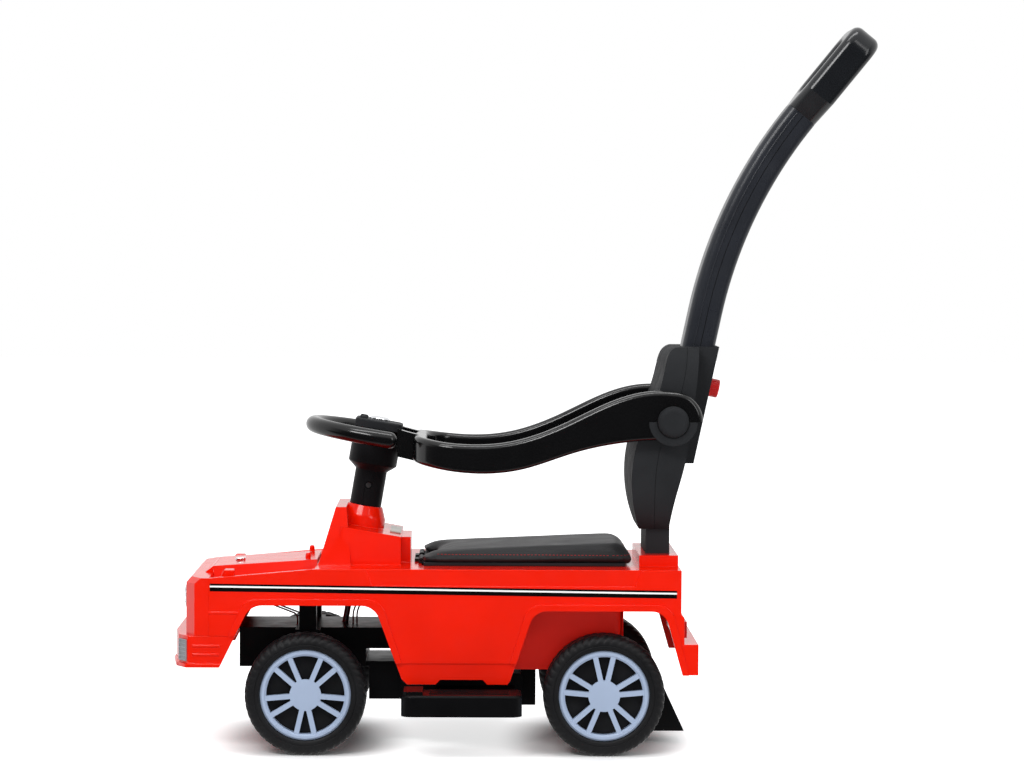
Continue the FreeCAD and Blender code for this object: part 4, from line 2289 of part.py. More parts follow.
def make_push_handle():
    """Plug in the backrest sleeve, bent stem above it and a closed grip loop at its top."""
    plug_foot, end, heading = handle_path(0)[1:]
    plug_run = handle_path(dim.plug_length.value)[1] - plug_foot
    plug = Part.Face(handle_section(plug_foot, 0)).extrude(plug_run)
    keep("handle_plug", solid("handle_plug", plug))
    stem = handle_tube(0).cut(handle_tube(dim.handle_wall.value))
    keep("handle_stem", solid("handle_stem", stem))

    body = new_body("handle_grip")
    length = dim.grip_length
    half = dim.grip_width / 2
    stem_half = dim.handle_width / 2
    corner = dim.grip_corner
    loop = [
        (ZERO, stem_half),
        (corner, half),
        (length, half),
    ]
    pad(body, outline(body, "XY_Plane", mirrored_half(loop)), dim.handle_depth, True)
    tips = [(length, half), (length, -half)]
    soften("Fillet", body, corner, along_z(tips))
    bar = dim.grip_bar
    inside = half - bar
    hole = mirrored_half([(corner, inside - bar / 4), (corner + bar, inside), (length - bar, inside)])
    pocket(body, outline(body, "XY_Plane", hole), dim.handle_depth + dim.overrun, True)
    soften("Fillet", body, dim.grip_hole_round, along_z(hole))
    doc.recompute()
    rims = [on_plane("z", dim.handle_depth / 2), on_plane("z", -dim.handle_depth / 2)]
    foot = on_plane("x", ZERO)
    soften("Fillet", body, dim.handle_round, lambda edge: any(rim(edge) for rim in rims) and not foot(edge))
    angle = 90 - math.degrees(math.atan2(heading.z, heading.x))
    body.Placement = Placement(end, Rotation(Vector(0, 1, 0), angle - 90))
    keep("handle_grip", body)


def make_lamp_supply():
    """Cell box under the hood with its lid and cells, and the wires to the chassis and the dash."""
    front = seam_x + dim.cell_box_front
    rear = front + dim.cell_box_length
    half = dim.cell_box_half
    top = bulge_roof(front)
    wall = dim.cell_box_wall
    low = top - dim.cell_box_height
    outside = box("cell_box_outside", (front, -half, low + dim.cell_lid), (rear, half, top))
    inside = box("cell_box_inside", (front + wall, -half + wall, low + dim.cell_lid),
                 (rear - wall, half - wall, top - wall))
    keep("battery_box", cut("battery_box", outside, inside))
    keep("battery_lid", box("battery_lid", (front, -half, low), (rear, half, low + dim.cell_lid)))
    pitch = dim.cell_radius * 2 + dim.cell_play
    start = front + wall + dim.cell_play
    cells = []
    for index in range(COUNTS["cell_count"]):
        across = pitch * (index - (COUNTS["cell_count"] - 1) / 2)
        cells.append(cylinder("cell", dim.cell_radius, dim.cell_length,
                              (start, across, low + dim.cell_lid + dim.cell_radius), ALONG_X))
    keep("battery_cells", group("battery_cells", cells))


def wire(start, end):
    """Thin wire that leaves straight down and sweeps over to its lower end."""
    down = Vector(0, 0, (end.z - start.z) * WIRE_DROP_SHARE)
    points = [start, start + down, end - down, end]
    radius = dim.wire_radius.value
    edges = []
    last = points[0]
    for index in (1, 2):
        before, corner, after = points[index - 1], points[index], points[index + 1]
        turn = (corner - before).getAngle(after - corner)
        reach = WIRE_BEND_SHARE * min((corner - before).Length, (after - corner).Length)
        first = corner + (before - corner).normalize() * reach
        second = corner + (after - corner).normalize() * reach
        inward = ((before - corner).normalize() + (after - corner).normalize()).normalize()
        bend = reach / math.tan(turn / 2)
        offset = math.sqrt(bend * bend + reach * reach) - bend
        edges.append(Part.LineSegment(last, first).toShape())
        edges.append(Part.Arc(first, corner + inward * offset, second).toShape())
        last = second
    edges.append(Part.LineSegment(last, points[-1]).toShape())
    ring = Part.Wire(Part.makeCircle(radius, start, Vector(0, 0, 1)))
    return Part.Wire(edges).makePipeShell([ring], True, False)


def boss_floor(at_x):
    """Height of the steering boss's slanted lower face."""
    tilt = math.radians(dim.steering_tilt.value)
    root = dim.boss_root.value
    centre_x = number(steering_x) - root * math.sin(tilt)
    return deck_z.value - root * math.cos(tilt) - (at_x - centre_x) * math.tan(tilt)


def make_wires():
    """Two pairs of thin wires in the front arch, held at both ends."""
    floor = dim.chassis_top.value
    lamp_top = number(bulge_roof(seam_x + dim.cell_box_front) - dim.cell_box_height)
    lamp_x = number(front_axle_x + dim.lamp_wire_front)
    pair = []
    for index in (0, 1):
        x = lamp_x + index * dim.lamp_wire_pitch.value
        y = dim.lamp_wire_y.value - index * dim.lamp_wire_pitch.value / 2
        pair.append(wire(Vector(x, y, lamp_top), Vector(x + dim.lamp_wire_run.value, y, floor)))
    dash_x = number(front_axle_x + dim.dash_wire_x)
    for index in (0, 1):
        x = dash_x + index * dim.dash_wire_pitch.value
        top = Vector(x, dim.dash_wire_y.value, boss_floor(x) - dim.running_clearance.value)
        pair.append(wire(top, Vector(x + dim.dash_wire_run.value, dim.dash_wire_y.value, floor)))
    keep("lamp_wires", solid("lamp_wires", Part.makeCompound(pair)))


def make_all():
    make_body_shell()
    make_front_fascia()
    make_grille_insert()
    make_headlights()
    make_front_bumper()
    make_bumper_vents()
    make_hood_trim()
    make_dash_panel()
    make_tail_lamps()
    make_storage_tub()
    make_chassis()
    make_kingpins()
    make_knuckle("left", -1)
    make_knuckle("right", 1)
    make_tie_rod()
    make_steering_shaft()
    make_rear_axle()
    make_anti_tip_skid()
    make_wheels()
    make_footrest("left", -1)
    make_footrest("right", 1)
    make_seat_hinge()
    make_seat_lid()
    make_seat_cushion()
    make_steering_column()
    make_steering_wheel()
    make_hub_pad()
    make_backrest()
    make_guard()
    make_release_button()
    make_push_handle()
    make_lamp_supply()
    make_wires()


def check_and_write():
    """Stop on any failed object, then write one file per sub-part."""
    doc.recompute()
    for item in doc.Objects:
        if "Invalid" in item.State or "Error" in item.State:
            raise RuntimeError("%s is not sound: %s" % (item.Label, item.State))
    for label, item in nodes.items():
        if item.Shape.isNull() or not item.Shape.isValid():
            raise RuntimeError("%s has no sound shape" % label)
    os.makedirs("parts", exist_ok=True)
    for label, item in nodes.items():
        item.Shape.exportStep("parts/%s.step" % label)


make_all()
check_and_write()
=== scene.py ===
import json
import math

import bmesh
import bpy
from mathutils import Matrix, Quaternion, Vector
from mathutils.bvhtree import BVHTree


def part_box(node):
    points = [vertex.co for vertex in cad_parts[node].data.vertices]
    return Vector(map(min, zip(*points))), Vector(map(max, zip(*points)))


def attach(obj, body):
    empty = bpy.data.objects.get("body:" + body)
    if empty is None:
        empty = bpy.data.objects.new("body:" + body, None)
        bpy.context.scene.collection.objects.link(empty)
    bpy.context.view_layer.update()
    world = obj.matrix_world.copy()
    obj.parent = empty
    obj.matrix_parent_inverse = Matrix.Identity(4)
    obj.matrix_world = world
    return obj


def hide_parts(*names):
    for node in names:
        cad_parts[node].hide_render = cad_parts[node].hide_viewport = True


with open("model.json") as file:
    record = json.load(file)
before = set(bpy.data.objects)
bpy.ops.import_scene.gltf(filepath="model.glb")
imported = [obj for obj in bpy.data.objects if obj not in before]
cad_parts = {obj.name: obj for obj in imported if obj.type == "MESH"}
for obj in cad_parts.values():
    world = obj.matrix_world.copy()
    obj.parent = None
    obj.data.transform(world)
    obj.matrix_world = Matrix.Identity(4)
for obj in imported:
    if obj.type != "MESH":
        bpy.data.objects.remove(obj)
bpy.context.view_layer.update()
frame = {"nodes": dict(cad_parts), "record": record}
nodes = frame["nodes"]
record = frame["record"]
scene = bpy.context.scene
body_of = {name: body for body, names in record["behaviour"]["bodies"].items() for name in names}
SLOT_OF = {item["node"]: item["material_slot"] for item in record["subparts"]}

# Materials: scales are in cycles per metre, depths in metres
NOISE_SPAN = (0.25, 0.75)
BLEND_SPAN = (0.3, 0.7)
DRIFT_SCALE = 14
PATCH_SCALE = 45
PATCH_SPREAD = (0.85, 1.2)
GRAIN_SCALE = 900
GRAIN_DEPTH = 0.0004
BRUSH_SCALE = 220
BRUSH_SPREAD = (0.7, 1.4)
BRUSH_STRENGTH = 0.05
BRUSH_DEPTH = 0.0002
BRUSH_DARK = 0.9
PEBBLE_SCALE = 620
PEBBLE_STRENGTH = 0.35
PEBBLE_DEPTH = 0.0006
CREASE_SCALE = 22
CREASE_SHADES = (0.75, 1.5)
LEATHER_ROUGHNESS = (0.42, 0.58)
LEATHER_SHINE = 0.2
LEATHER_SHEEN = 0.04
LEATHER_SHEEN_ROUGHNESS = 0.5
LENS_COLOURS = ((0.88, 0.9, 0.92), (0.97, 0.98, 1.0))
LENS_RIB_SCALE = 70
LENS_RIB_STRENGTH = 0.25
LENS_RIB_DEPTH = 0.0005
LENS_TRANSMISSION = 0.92
LENS_ROUGHNESS = 0.06
LENS_IOR = 1.45


def new_material(name):
    material = bpy.data.materials.new(name)
    material.use_nodes = True
    return material, material.node_tree, material.node_tree.nodes["Principled BSDF"]


def noise(tree, scale, detail, distortion=0.0, stretch=None):
    """Noise in object space, stretched along an axis where asked."""
    place = tree.nodes.new("ShaderNodeTexCoord")
    texture = tree.nodes.new("ShaderNodeTexNoise")
    texture.inputs["Scale"].default_value = scale
    texture.inputs["Detail"].default_value = detail
    texture.inputs["Distortion"].default_value = distortion
    if stretch:
        mapping = tree.nodes.new("ShaderNodeMapping")
        mapping.inputs["Scale"].default_value = stretch
        tree.links.new(place.outputs["Object"], mapping.inputs["Vector"])
        tree.links.new(mapping.outputs["Vector"], texture.inputs["Vector"])
    else:
        tree.links.new(place.outputs["Object"], texture.inputs["Vector"])
    return texture.outputs["Fac"]


def blend_colours(tree, factor, first, second):
    ramp = tree.nodes.new("ShaderNodeValToRGB")
    for stop, position, colour in zip(ramp.color_ramp.elements, BLEND_SPAN, (first, second)):
        stop.position = position
        stop.color = (*colour, 1)
    tree.links.new(factor, ramp.inputs["Fac"])
    return ramp.outputs["Color"]


def map_range(tree, value, reach, result, easing="LINEAR"):
    """Value that goes from one result to another over a reach."""
    node = tree.nodes.new("ShaderNodeMapRange")
    node.interpolation_type = easing
    node.inputs["From Min"].default_value = reach[0]
    node.inputs["From Max"].default_value = reach[1]
    node.inputs["To Min"].default_value = result[0]
    node.inputs["To Max"].default_value = result[1]
    tree.links.new(value, node.inputs["Value"])
    return node.outputs["Result"]


def set_roughness(tree, shader, factor, roughness, spread):
    result = [roughness * share for share in spread]
    tree.links.new(map_range(tree, factor, NOISE_SPAN, result), shader.inputs["Roughness"])


def add_bump(tree, shader, height, strength, depth):
    bump = tree.nodes.new("ShaderNodeBump")
    bump.inputs["Strength"].default_value = strength
    bump.inputs["Distance"].default_value = depth
    tree.links.new(height, bump.inputs["Height"])
    tree.links.new(bump.outputs["Normal"], shader.inputs["Normal"])


def shade(colour, factor):
    return tuple(min(1.0, channel * factor) for channel in colour)


def plastic(name, colour, roughness, grain, drift, shine, grain_scale=GRAIN_SCALE):
    """Moulded plastic: slow colour drift, uneven gloss and a fine surface grain."""
    material, tree, shader = new_material(name)
    slow = noise(tree, DRIFT_SCALE, detail=4, distortion=0.4)
    tint = blend_colours(tree, slow, shade(colour, 1 - drift), shade(colour, 1 + drift))
    tree.links.new(tint, shader.inputs["Base Color"])
    patchy = noise(tree, PATCH_SCALE, detail=5, distortion=0.2)
    set_roughness(tree, shader, patchy, roughness, PATCH_SPREAD)
    add_bump(tree, shader, noise(tree, grain_scale, detail=2), grain, GRAIN_DEPTH)
    shader.inputs["Specular IOR Level"].default_value = shine
    return material


def metal(name, colour, roughness, brushed=None):
    """Bright metal or plating with faint brush marks or haze."""
    material, tree, shader = new_material(name)
    shader.inputs["Metallic"].default_value = 1.0
    marks = noise(tree, BRUSH_SCALE, detail=4, stretch=brushed)
    tint = blend_colours(tree, marks, shade(colour, BRUSH_DARK), colour)
    tree.links.new(tint, shader.inputs["Base Color"])
    set_roughness(tree, shader, marks, roughness, BRUSH_SPREAD)
    add_bump(tree, shader, marks, BRUSH_STRENGTH, BRUSH_DEPTH)
    return material


def leatherette(name, colour):
    """Embossed pebble grain with creases and a soft sheen."""
    material, tree, shader = new_material(name)
    place = tree.nodes.new("ShaderNodeTexCoord")
    pebbles = tree.nodes.new("ShaderNodeTexVoronoi")
    pebbles.inputs["Scale"].default_value = PEBBLE_SCALE
    pebbles.feature = "SMOOTH_F1"
    tree.links.new(place.outputs["Object"], pebbles.inputs["Vector"])
    slow = noise(tree, CREASE_SCALE, detail=5, distortion=0.6)
    tint = blend_colours(tree, slow, *(shade(colour, factor) for factor in CREASE_SHADES))
    tree.links.new(tint, shader.inputs["Base Color"])
    tree.links.new(map_range(tree, slow, NOISE_SPAN, LEATHER_ROUGHNESS), shader.inputs["Roughness"])
    add_bump(tree, shader, pebbles.outputs["Distance"], PEBBLE_STRENGTH, PEBBLE_DEPTH)
    shader.inputs["Specular IOR Level"].default_value = LEATHER_SHINE
    shader.inputs["Sheen Weight"].default_value = LEATHER_SHEEN
    shader.inputs["Sheen Roughness"].default_value = LEATHER_SHEEN_ROUGHNESS
    return material


def ribbed_lens(name):
    """Clear moulded lens with fine optic ribs."""
    material, tree, shader = new_material(name)
    place = tree.nodes.new("ShaderNodeTexCoord")
    ribs = tree.nodes.new("ShaderNodeTexWave")
    ribs.bands_direction = "Y"
    ribs.inputs["Scale"].default_value = LENS_RIB_SCALE
    tree.links.new(place.outputs["Object"], ribs.inputs["Vector"])
    tint = blend_colours(tree, ribs.outputs["Fac"], *LENS_COLOURS)
    tree.links.new(tint, shader.inputs["Base Color"])
    add_bump(tree, shader, ribs.outputs["Fac"], LENS_RIB_STRENGTH, LENS_RIB_DEPTH)
    shader.inputs["Transmission Weight"].default_value = LENS_TRANSMISSION
    shader.inputs["Roughness"].default_value = LENS_ROUGHNESS
    shader.inputs["IOR"].default_value = LENS_IOR
    return material


RED = (0.86, 0.011, 0.0005)
# Colour, roughness, strength of the grain, colour drift, shine and any special scale of the grain
PLASTICS = {
    "red_shell": (RED, 0.15, 0.02, 0.04, 0.28),
    "red_trim": (RED, 0.15, 0.02, 0.04, 0.28),
    # The tub's red is a little lighter than the shell's: painted fill light where the tub sits in shade
    # under the body. Its matte finish is its own.
    "tub_red": ((0.90, 0.014, 0.005), 0.36, 0.08, 0.06, 0.15),
    "button_red": ((0.66, 0.012, 0.012), 0.28, 0.05, 0.05, 0.3),
    "lamp_red": ((0.50, 0.006, 0.006), 0.15, 0.03, 0.08, 0.5),
    "stripe_black": ((0.002, 0.002, 0.002), 0.35, 0.03, 0.1, 0.10),
    "stripe_white": ((0.95, 0.95, 0.94), 0.32, 0.03, 0.03, 0.15),
    "chassis_black": ((0.004, 0.004, 0.0045), 0.34, 0.10, 0.2, 0.08),
    "satin_black": ((0.020, 0.021, 0.023), 0.50, 0.35, 0.15, 0.10, 1600),
    "backrest_black": ((0.024, 0.025, 0.027), 0.55, 0.35, 0.12, 0.025, 1600),
    "gloss_black": ((0.003, 0.003, 0.0034), 0.15, 0.03, 0.2, 0.45),
    "handle_black": ((0.008, 0.009, 0.011), 0.20, 0.04, 0.15, 0.45),
    # The stem's black is lighter than the grip's: a painted sheen, which stands for a softbox's glow on the
    # stem's sides.
    "stem_black_painted_sheen": ((0.018, 0.020, 0.026), 0.30, 0.06, 0.12, 0.35),
    "column_black": ((0.007, 0.007, 0.008), 0.42, 0.2, 0.15, 0.09, 1400),
    "seam_black": ((0.003, 0.003, 0.003), 0.6, 0.1, 0.2, 0.05),
    "grille_black": ((0.012, 0.012, 0.013), 0.4, 0.1, 0.1, 0.2),
    "tyre_black": ((0.008, 0.008, 0.009), 0.5, 0.45, 0.25, 0.2, 1300),
    "rim_grey": ((0.37, 0.455, 0.61), 0.33, 0.06, 0.04, 0.3),
    "vent_grey": ((0.30, 0.31, 0.33), 0.42, 0.1, 0.08, 0.3),
    "panel_silver": ((0.47, 0.45, 0.40), 0.3, 0.06, 0.12, 0.5),
    "wire_red": ((0.10, 0.010, 0.010), 0.45, 0.05, 0.2, 0.2),
    "cell_case": ((0.25, 0.26, 0.28), 0.35, 0.05, 0.1, 0.4),
    "painted_steel": ((0.006, 0.006, 0.007), 0.45, 0.15, 0.2, 0.2, 1400),
    "stitch_red": ((0.42, 0.02, 0.02), 0.6, 0.4, 0.15, 0.15, 2500),
}
# Colour, roughness and, where it is brushed, the stretch of the marks
METALS = {
    "steel": ((0.40, 0.41, 0.43), 0.30, (1, 12, 1)),
    "dull_steel": ((0.16, 0.165, 0.17), 0.35),
    "bright_trim": ((0.83, 0.84, 0.86), 0.12),
    "bright_reflector": ((0.88, 0.89, 0.91), 0.1),
}
MATERIALS = {name: plastic(name, *row) for name, row in PLASTICS.items()}
MATERIALS.update({name: metal(name, *row) for name, row in METALS.items()})
MATERIALS["clear_lens"] = ribbed_lens("clear_lens")
MATERIALS["seat_leather"] = leatherette("seat_leather", (0.012, 0.012, 0.013))
FINISH_OF = dict(
    SLOT_OF,
    # The stem and its plug take the lighter black with the painted sheen; the grip keeps the darker black.
    handle_plug="stem_black_painted_sheen",
    handle_stem="stem_black_painted_sheen",
    handle_grip="handle_black",
    steering_column="column_black",
    backrest_front="backrest_black",
    backrest_rear="backrest_black",
    guard_clips="backrest_black",
    seat_hinge_leaf="painted_steel",
    seat_hinge_pin="painted_steel",
    column_screw="dull_steel",
    music_button_left="backrest_black",
    music_button_right="backrest_black",
)

# Pieces: lengths are in metres
JOIN_DISTANCE = 2e-6
FLAT_ANGLE = math.radians(0.4)
SHARP_ANGLE = math.radians(32)
ROUNDING_SEGMENTS = 3
SOFT_EDGES = {
    "body_shell": 0.0016,
    "front_fascia": 0.0016,
    "front_bumper": 0.0014,
    "turn_signal_caps": 0.0018,
    "hood_badge": 0.0006,
    "dash_panel": 0.0006,
    "storage_tub": 0.0010,
    "chassis": 0.0010,
    "anti_tip_skid": 0.0012,
    "rear_axle_bracket": 0.0010,
    "footrest_left": 0.0008,
    "footrest_right": 0.0008,
    "backrest_front": 0.0035,
    "backrest_rear": 0.0034,
    "guard_clips": 0.0010,
    "seat_lid": 0.0008,
    "steering_column": 0.0010,
    "steering_wheel": 0.0012,
    "hub_pad": 0.0008,
    "horn_button": 0.0006,
    "release_button": 0.0006,
    "tail_lights": 0.0008,
    "bumper_vents": 0.0004,
    "grille_insert": 0.0005,
    "knuckle_left": 0.0006,
    "knuckle_right": 0.0006,
    "tie_rod": 0.0005,
    "rim_front_left": 0.0009,
    "rim_front_right": 0.0009,
    "rim_rear_left": 0.0009,
    "rim_rear_right": 0.0009,
}


def add_object(name, data):
    piece = bpy.data.objects.new(name, data)
    scene.collection.objects.link(piece)
    return piece


def mesh_from(edit, name):
    mesh = bpy.data.meshes.new(name)
    edit.to_mesh(mesh)
    edit.free()
    return mesh


def finish_piece(piece, body, material):
    """Give a new piece its material and let it ride on a body."""
    piece.data.materials.clear()
    piece.data.materials.append(MATERIALS[material])
    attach(piece, body)


def smooth_faces(mesh, angle):
    mesh.shade_smooth()
    mesh.set_sharp_from_angle(angle=angle)


def cleaned_copy(name):
    """Mesh of a CAD node with its seams joined and its flat areas made of few convex faces."""
    mesh = nodes[name].data.copy()
    edit = bmesh.new()
    edit.from_mesh(mesh)
    bmesh.ops.remove_doubles(edit, verts=edit.verts, dist=JOIN_DISTANCE)
    bmesh.ops.dissolve_limit(edit, angle_limit=FLAT_ANGLE, verts=edit.verts, edges=edit.edges)
    bmesh.ops.connect_verts_concave(edit, faces=edit.faces)
    edit.to_mesh(mesh)
    edit.free()
    return mesh


def soften(name, width):
    """A copy of a rigid CAD node whose corners catch the light, which stands for it."""
    piece = add_object(name + "_moulded", cleaned_copy(name))
    smooth_faces(piece.data, SHARP_ANGLE)
    rounding = piece.modifiers.new("rounding", "BEVEL")
    rounding.width = width
    rounding.segments = ROUNDING_SEGMENTS
    rounding.limit_method = "ANGLE"
    rounding.angle_limit = SHARP_ANGLE
    rounding.use_clamp_overlap = True
    evened = piece.modifiers.new("evened", "WEIGHTED_NORMAL")
    evened.keep_sharp = True
    finish_piece(piece, body_of[name], FINISH_OF[name])
    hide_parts(name)


def dress_nodes():
    """Every CAD node gets its material; the visible moulded ones also get rounded corners."""
    for name, piece in nodes.items():
        piece.data.materials.clear()
        piece.data.materials.append(MATERIALS[FINISH_OF[name]])
        smooth_faces(piece.data, SHARP_ANGLE)
    for name, width in SOFT_EDGES.items():
        soften(name, width)


# Tyres with a cut tread
TYRE_STEPS = 276
TYRE_SHARP_ANGLE = math.radians(40)
TREAD_BLOCKS = 46
TREAD_REACH = 0.0075
SHOULDER_SHARE = 0.45
SHOULDER_SLANT = 1.2
SHOULDER_SLOT_SHARE = 0.28
SHOULDER_SLOT_DEPTH = 0.0016
MIDDLE_BLOCK_SHARE = 0.5
MIDDLE_SLANT = 0.7
MIDDLE_SLOT_SHARE = 0.16
MIDDLE_SLOT_DEPTH = 0.0013
BAND_STEPS = 12
BAND_START = -0.0145
BAND_WIDTH = 0.029
GROOVE_HALF = 0.0022
GROOVE_DEPTH = 0.0022
RIM_SEAT = 0.058
BORE_RADIUS = 0.0063
HUB_RADIUS = 0.014
DISH_HUB_RADIUS = 0.0142
HUB_FACE = 0.011
DISH_FACE = 0.008
DISH_BACK = 0.005
CARCASS_WALL = 0.012
# Inset from the tyre's side and rise above the rim's seat, then inset and drop from the tread
BEAD = [
    (0.003, 0), (0.0012, 0.0004), (0.0002, 0.002), (0, 0.004), (0, 0.0055), (0.0006, 0.0062), (0, 0.0069),
]
SHOULDER = [(0, 0.0085), (0.0006, 0.0065), (0.0016, 0.0042), (0.0035, 0.0022), (0.0055, 0.0008)]


def tread_depth(across, angle, half):
    """Depth of the tread pattern: slanted shoulder blocks and a zigzag middle groove."""
    turn = angle / (2 * math.pi) * TREAD_BLOCKS
    if abs(across) > half * SHOULDER_SHARE:
        slot = (turn + abs(across) / half * SHOULDER_SLANT) % 1.0
        return SHOULDER_SLOT_DEPTH if slot < SHOULDER_SLOT_SHARE else 0.0
    slot = (turn * MIDDLE_BLOCK_SHARE + across / half * MIDDLE_SLANT) % 1.0
    return MIDDLE_SLOT_DEPTH if slot < MIDDLE_SLOT_SHARE else 0.0


def tyre_profile(half, outer):
    """Outline of the turned tyre as (across, radius), from the bore round the outside and back."""
    band = []
    for step in range(BAND_STEPS + 1):
        across = BAND_START + BAND_WIDTH * step / BAND_STEPS
        band.append((across, outer - (GROOVE_DEPTH if abs(across) < GROOVE_HALF else 0)))
    face = [(HUB_FACE, BORE_RADIUS), (HUB_FACE, HUB_RADIUS)]
    face += [(DISH_FACE, DISH_HUB_RADIUS), (DISH_FACE, RIM_SEAT)]
    face += [(half - inset, RIM_SEAT + rise) for inset, rise in BEAD]
    face += [(half - inset, outer - drop) for inset, drop in SHOULDER]
    back = [(inset - half, outer - drop) for inset, drop in reversed(SHOULDER)]
    back += [(-half, outer - CARCASS_WALL), (DISH_BACK, outer - CARCASS_WALL), (DISH_BACK, HUB_RADIUS)]
    back += [(-half, HUB_RADIUS), (-half, BORE_RADIUS)]
    return face + list(reversed(band)) + back


def tyre_mesh(name):
    """Turned tyre with its tread cut into the outer band, from the CAD tyre's own size."""
    low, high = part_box(name)
    centre = (low + high) / 2
    outer = (high.z - low.z) / 2
    half = (high.y - low.y) / 2
    side = 1 if centre.y > 0 else -1
    profile = tyre_profile(half, outer)
    edit = bmesh.new()
    rings = []
    for step in range(TYRE_STEPS):
        angle = 2 * math.pi * step / TYRE_STEPS
        ring = []
        for across, radius in profile:
            if radius > outer - TREAD_REACH:
                radius -= tread_depth(across, angle, half)
            spot = centre + Vector((radius * math.sin(angle), across * side, radius * math.cos(angle)))
            ring.append(edit.verts.new(spot))
        rings.append(ring)
    total = len(profile)
    for step in range(TYRE_STEPS):
        ahead = rings[(step + 1) % TYRE_STEPS]
        here = rings[step]
        for index in range(total):
            after = (index + 1) % total
            edit.faces.new((here[index], ahead[index], ahead[after], here[after]))
    bmesh.ops.recalc_face_normals(edit, faces=edit.faces)
    return mesh_from(edit, name + "_tread")


def make_tyres():
    for corner in ("front_left", "front_right", "rear_left", "rear_right"):
        name = "tyre_" + corner
        piece = add_object(name + "_tread", tyre_mesh(name))
        smooth_faces(piece.data, TYRE_SHARP_ANGLE)
        finish_piece(piece, body_of[name], "tyre_black")
        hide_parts(name)


# Seat cushion
PAD_START_SHARE = 1.035
PAD_PROUD = 0.003
PAD_HEIGHT_SHARE = 0.58
PAD_REAR_LIFT = 0.005
PAD_VOXEL = 0.0045
PAD_SWELL = 0.006
PAD_CORNER = 0.026
CLOTH_PRESSURE = 4.0
CLOTH_QUALITY = 5
CLOTH_FRAMES = 20
SMOOTH_FACTOR = 0.5
SMOOTH_TURNS = 4
SKIRT_DROP = 0.0034
SKIRT_EASE = 0.004
SKIRT_FRONT_EASE = 0.02
SEAM_HEIGHT = 0.2495
SEAM_REACH = 0.018
SEAM_HALF = 0.004
SEAM_PULL = 0.0016
STITCH_RISE = 0.0018
STITCH_SPACING = 0.0046
STITCH_HALF_SIZE = (0.0015, 0.00042, 0.00042)
STITCH_PROUD = 0.0001
STITCH_SEGMENTS = (8, 6)
CORNER_STITCHES = 6
RAY_START_X = 0.4
RAY_START_Y = 0.2
RAY_CORNER_REACH = 0.1


def ease(share):
    """Smooth step of a share between 0 and 1."""
    share = min(max(share, 0), 1)
    return share * share * (3 - 2 * share)


def inflate(piece):
    """Swell the pad with cloth pressure, keeping every point within a limit of where it was."""
    start = [vertex.co.copy() for vertex in piece.data.vertices]
    cloth = piece.modifiers.new("padding", "CLOTH")
    cloth.settings.use_pressure = True
    cloth.settings.uniform_pressure_force = CLOTH_PRESSURE
    cloth.settings.effector_weights.gravity = 0
    cloth.settings.quality = CLOTH_QUALITY
    for step in range(1, CLOTH_FRAMES + 1):
        scene.frame_set(step)
    shape = piece.evaluated_get(bpy.context.evaluated_depsgraph_get())
    moved = [vertex.co.copy() for vertex in shape.data.vertices]
    piece.modifiers.remove(cloth)
    scene.frame_set(1)
    for vertex, old, new in zip(piece.data.vertices, start, moved):
        shift = new - old
        if shift.length > PAD_SWELL:
            shift *= PAD_SWELL / shift.length
        vertex.co = old + shift


def pad_blank(low, high):
    """The CAD cushion, lower and a little wider, on an even grid that cloth can bend."""
    mesh = cleaned_copy("seat_cushion")
    piece = add_object("seat_pad", mesh)
    centre = (low + high) / 2
    for vertex in mesh.vertices:
        across = (vertex.co - centre).y
        rise = vertex.co.z - low.z
        lift = PAD_REAR_LIFT * ease((vertex.co.x - centre.x) / (high.x - centre.x))
        vertex.co.x = low.x + (vertex.co.x - low.x) * PAD_START_SHARE
        vertex.co.y = centre.y + across * PAD_START_SHARE
        vertex.co.z = low.z + rise * (PAD_HEIGHT_SHARE + lift / (high.z - low.z))
    remesh = piece.modifiers.new("grid", "REMESH")
    remesh.mode = "VOXEL"
    remesh.voxel_size = PAD_VOXEL
    shape = piece.evaluated_get(bpy.context.evaluated_depsgraph_get())
    grid = bpy.data.meshes.new_from_object(shape)
    piece.modifiers.clear()
    piece.data = grid
    return piece


def make_cushion():
    low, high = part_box("seat_cushion")
    piece = pad_blank(low, high)
    inflate(piece)
    shape_seams(piece.data, low, high)
    piece.data.shade_smooth()
    smooth = piece.modifiers.new("smooth", "SMOOTH")
    smooth.factor = SMOOTH_FACTOR
    smooth.iterations = SMOOTH_TURNS
    divided = piece.modifiers.new("fine", "SUBSURF")
    divided.levels = 1
    divided.render_levels = 1
    finish_piece(piece, "seat", "seat_leather")
    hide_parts("seat_cushion")
    make_stitching(piece, low, high)


def shape_seams(mesh, low, high):
    """Flat underside, a skirt round the lid and a sewn seam, all within a little of the CAD pad's sides."""
    centre = (low + high) / 2
    lid_low, lid_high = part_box("seat_lid")
    for vertex in mesh.vertices:
        spot = vertex.co
        spot.z = max(spot.z, low.z)
        spot.x = min(max(spot.x, low.x), high.x + 2 * PAD_PROUD)
        spot.y = min(max(spot.y, low.y - PAD_PROUD), high.y + PAD_PROUD)
        past_lid = max(abs(spot.y) - lid_high.y, spot.x - lid_high.x) / SKIRT_EASE
        skirt = ease(past_lid) * ease((spot.x - lid_low.x) / SKIRT_FRONT_EASE)
        spot.z -= skirt * SKIRT_DROP * (1 - (spot.z - low.z) / (high.z - low.z))
        gap = abs(spot.z - SEAM_HEIGHT)
        near_end = spot.x > high.x - SEAM_REACH or spot.x < low.x + SEAM_REACH
        if gap < SEAM_HALF and (near_end or abs(spot.y) > high.y - SEAM_REACH):
            pull = SEAM_PULL * (1 - gap / SEAM_HALF)
            inward = Vector((centre.x - spot.x, centre.y - spot.y, 0)).normalized()
            vertex.co = spot + inward * pull


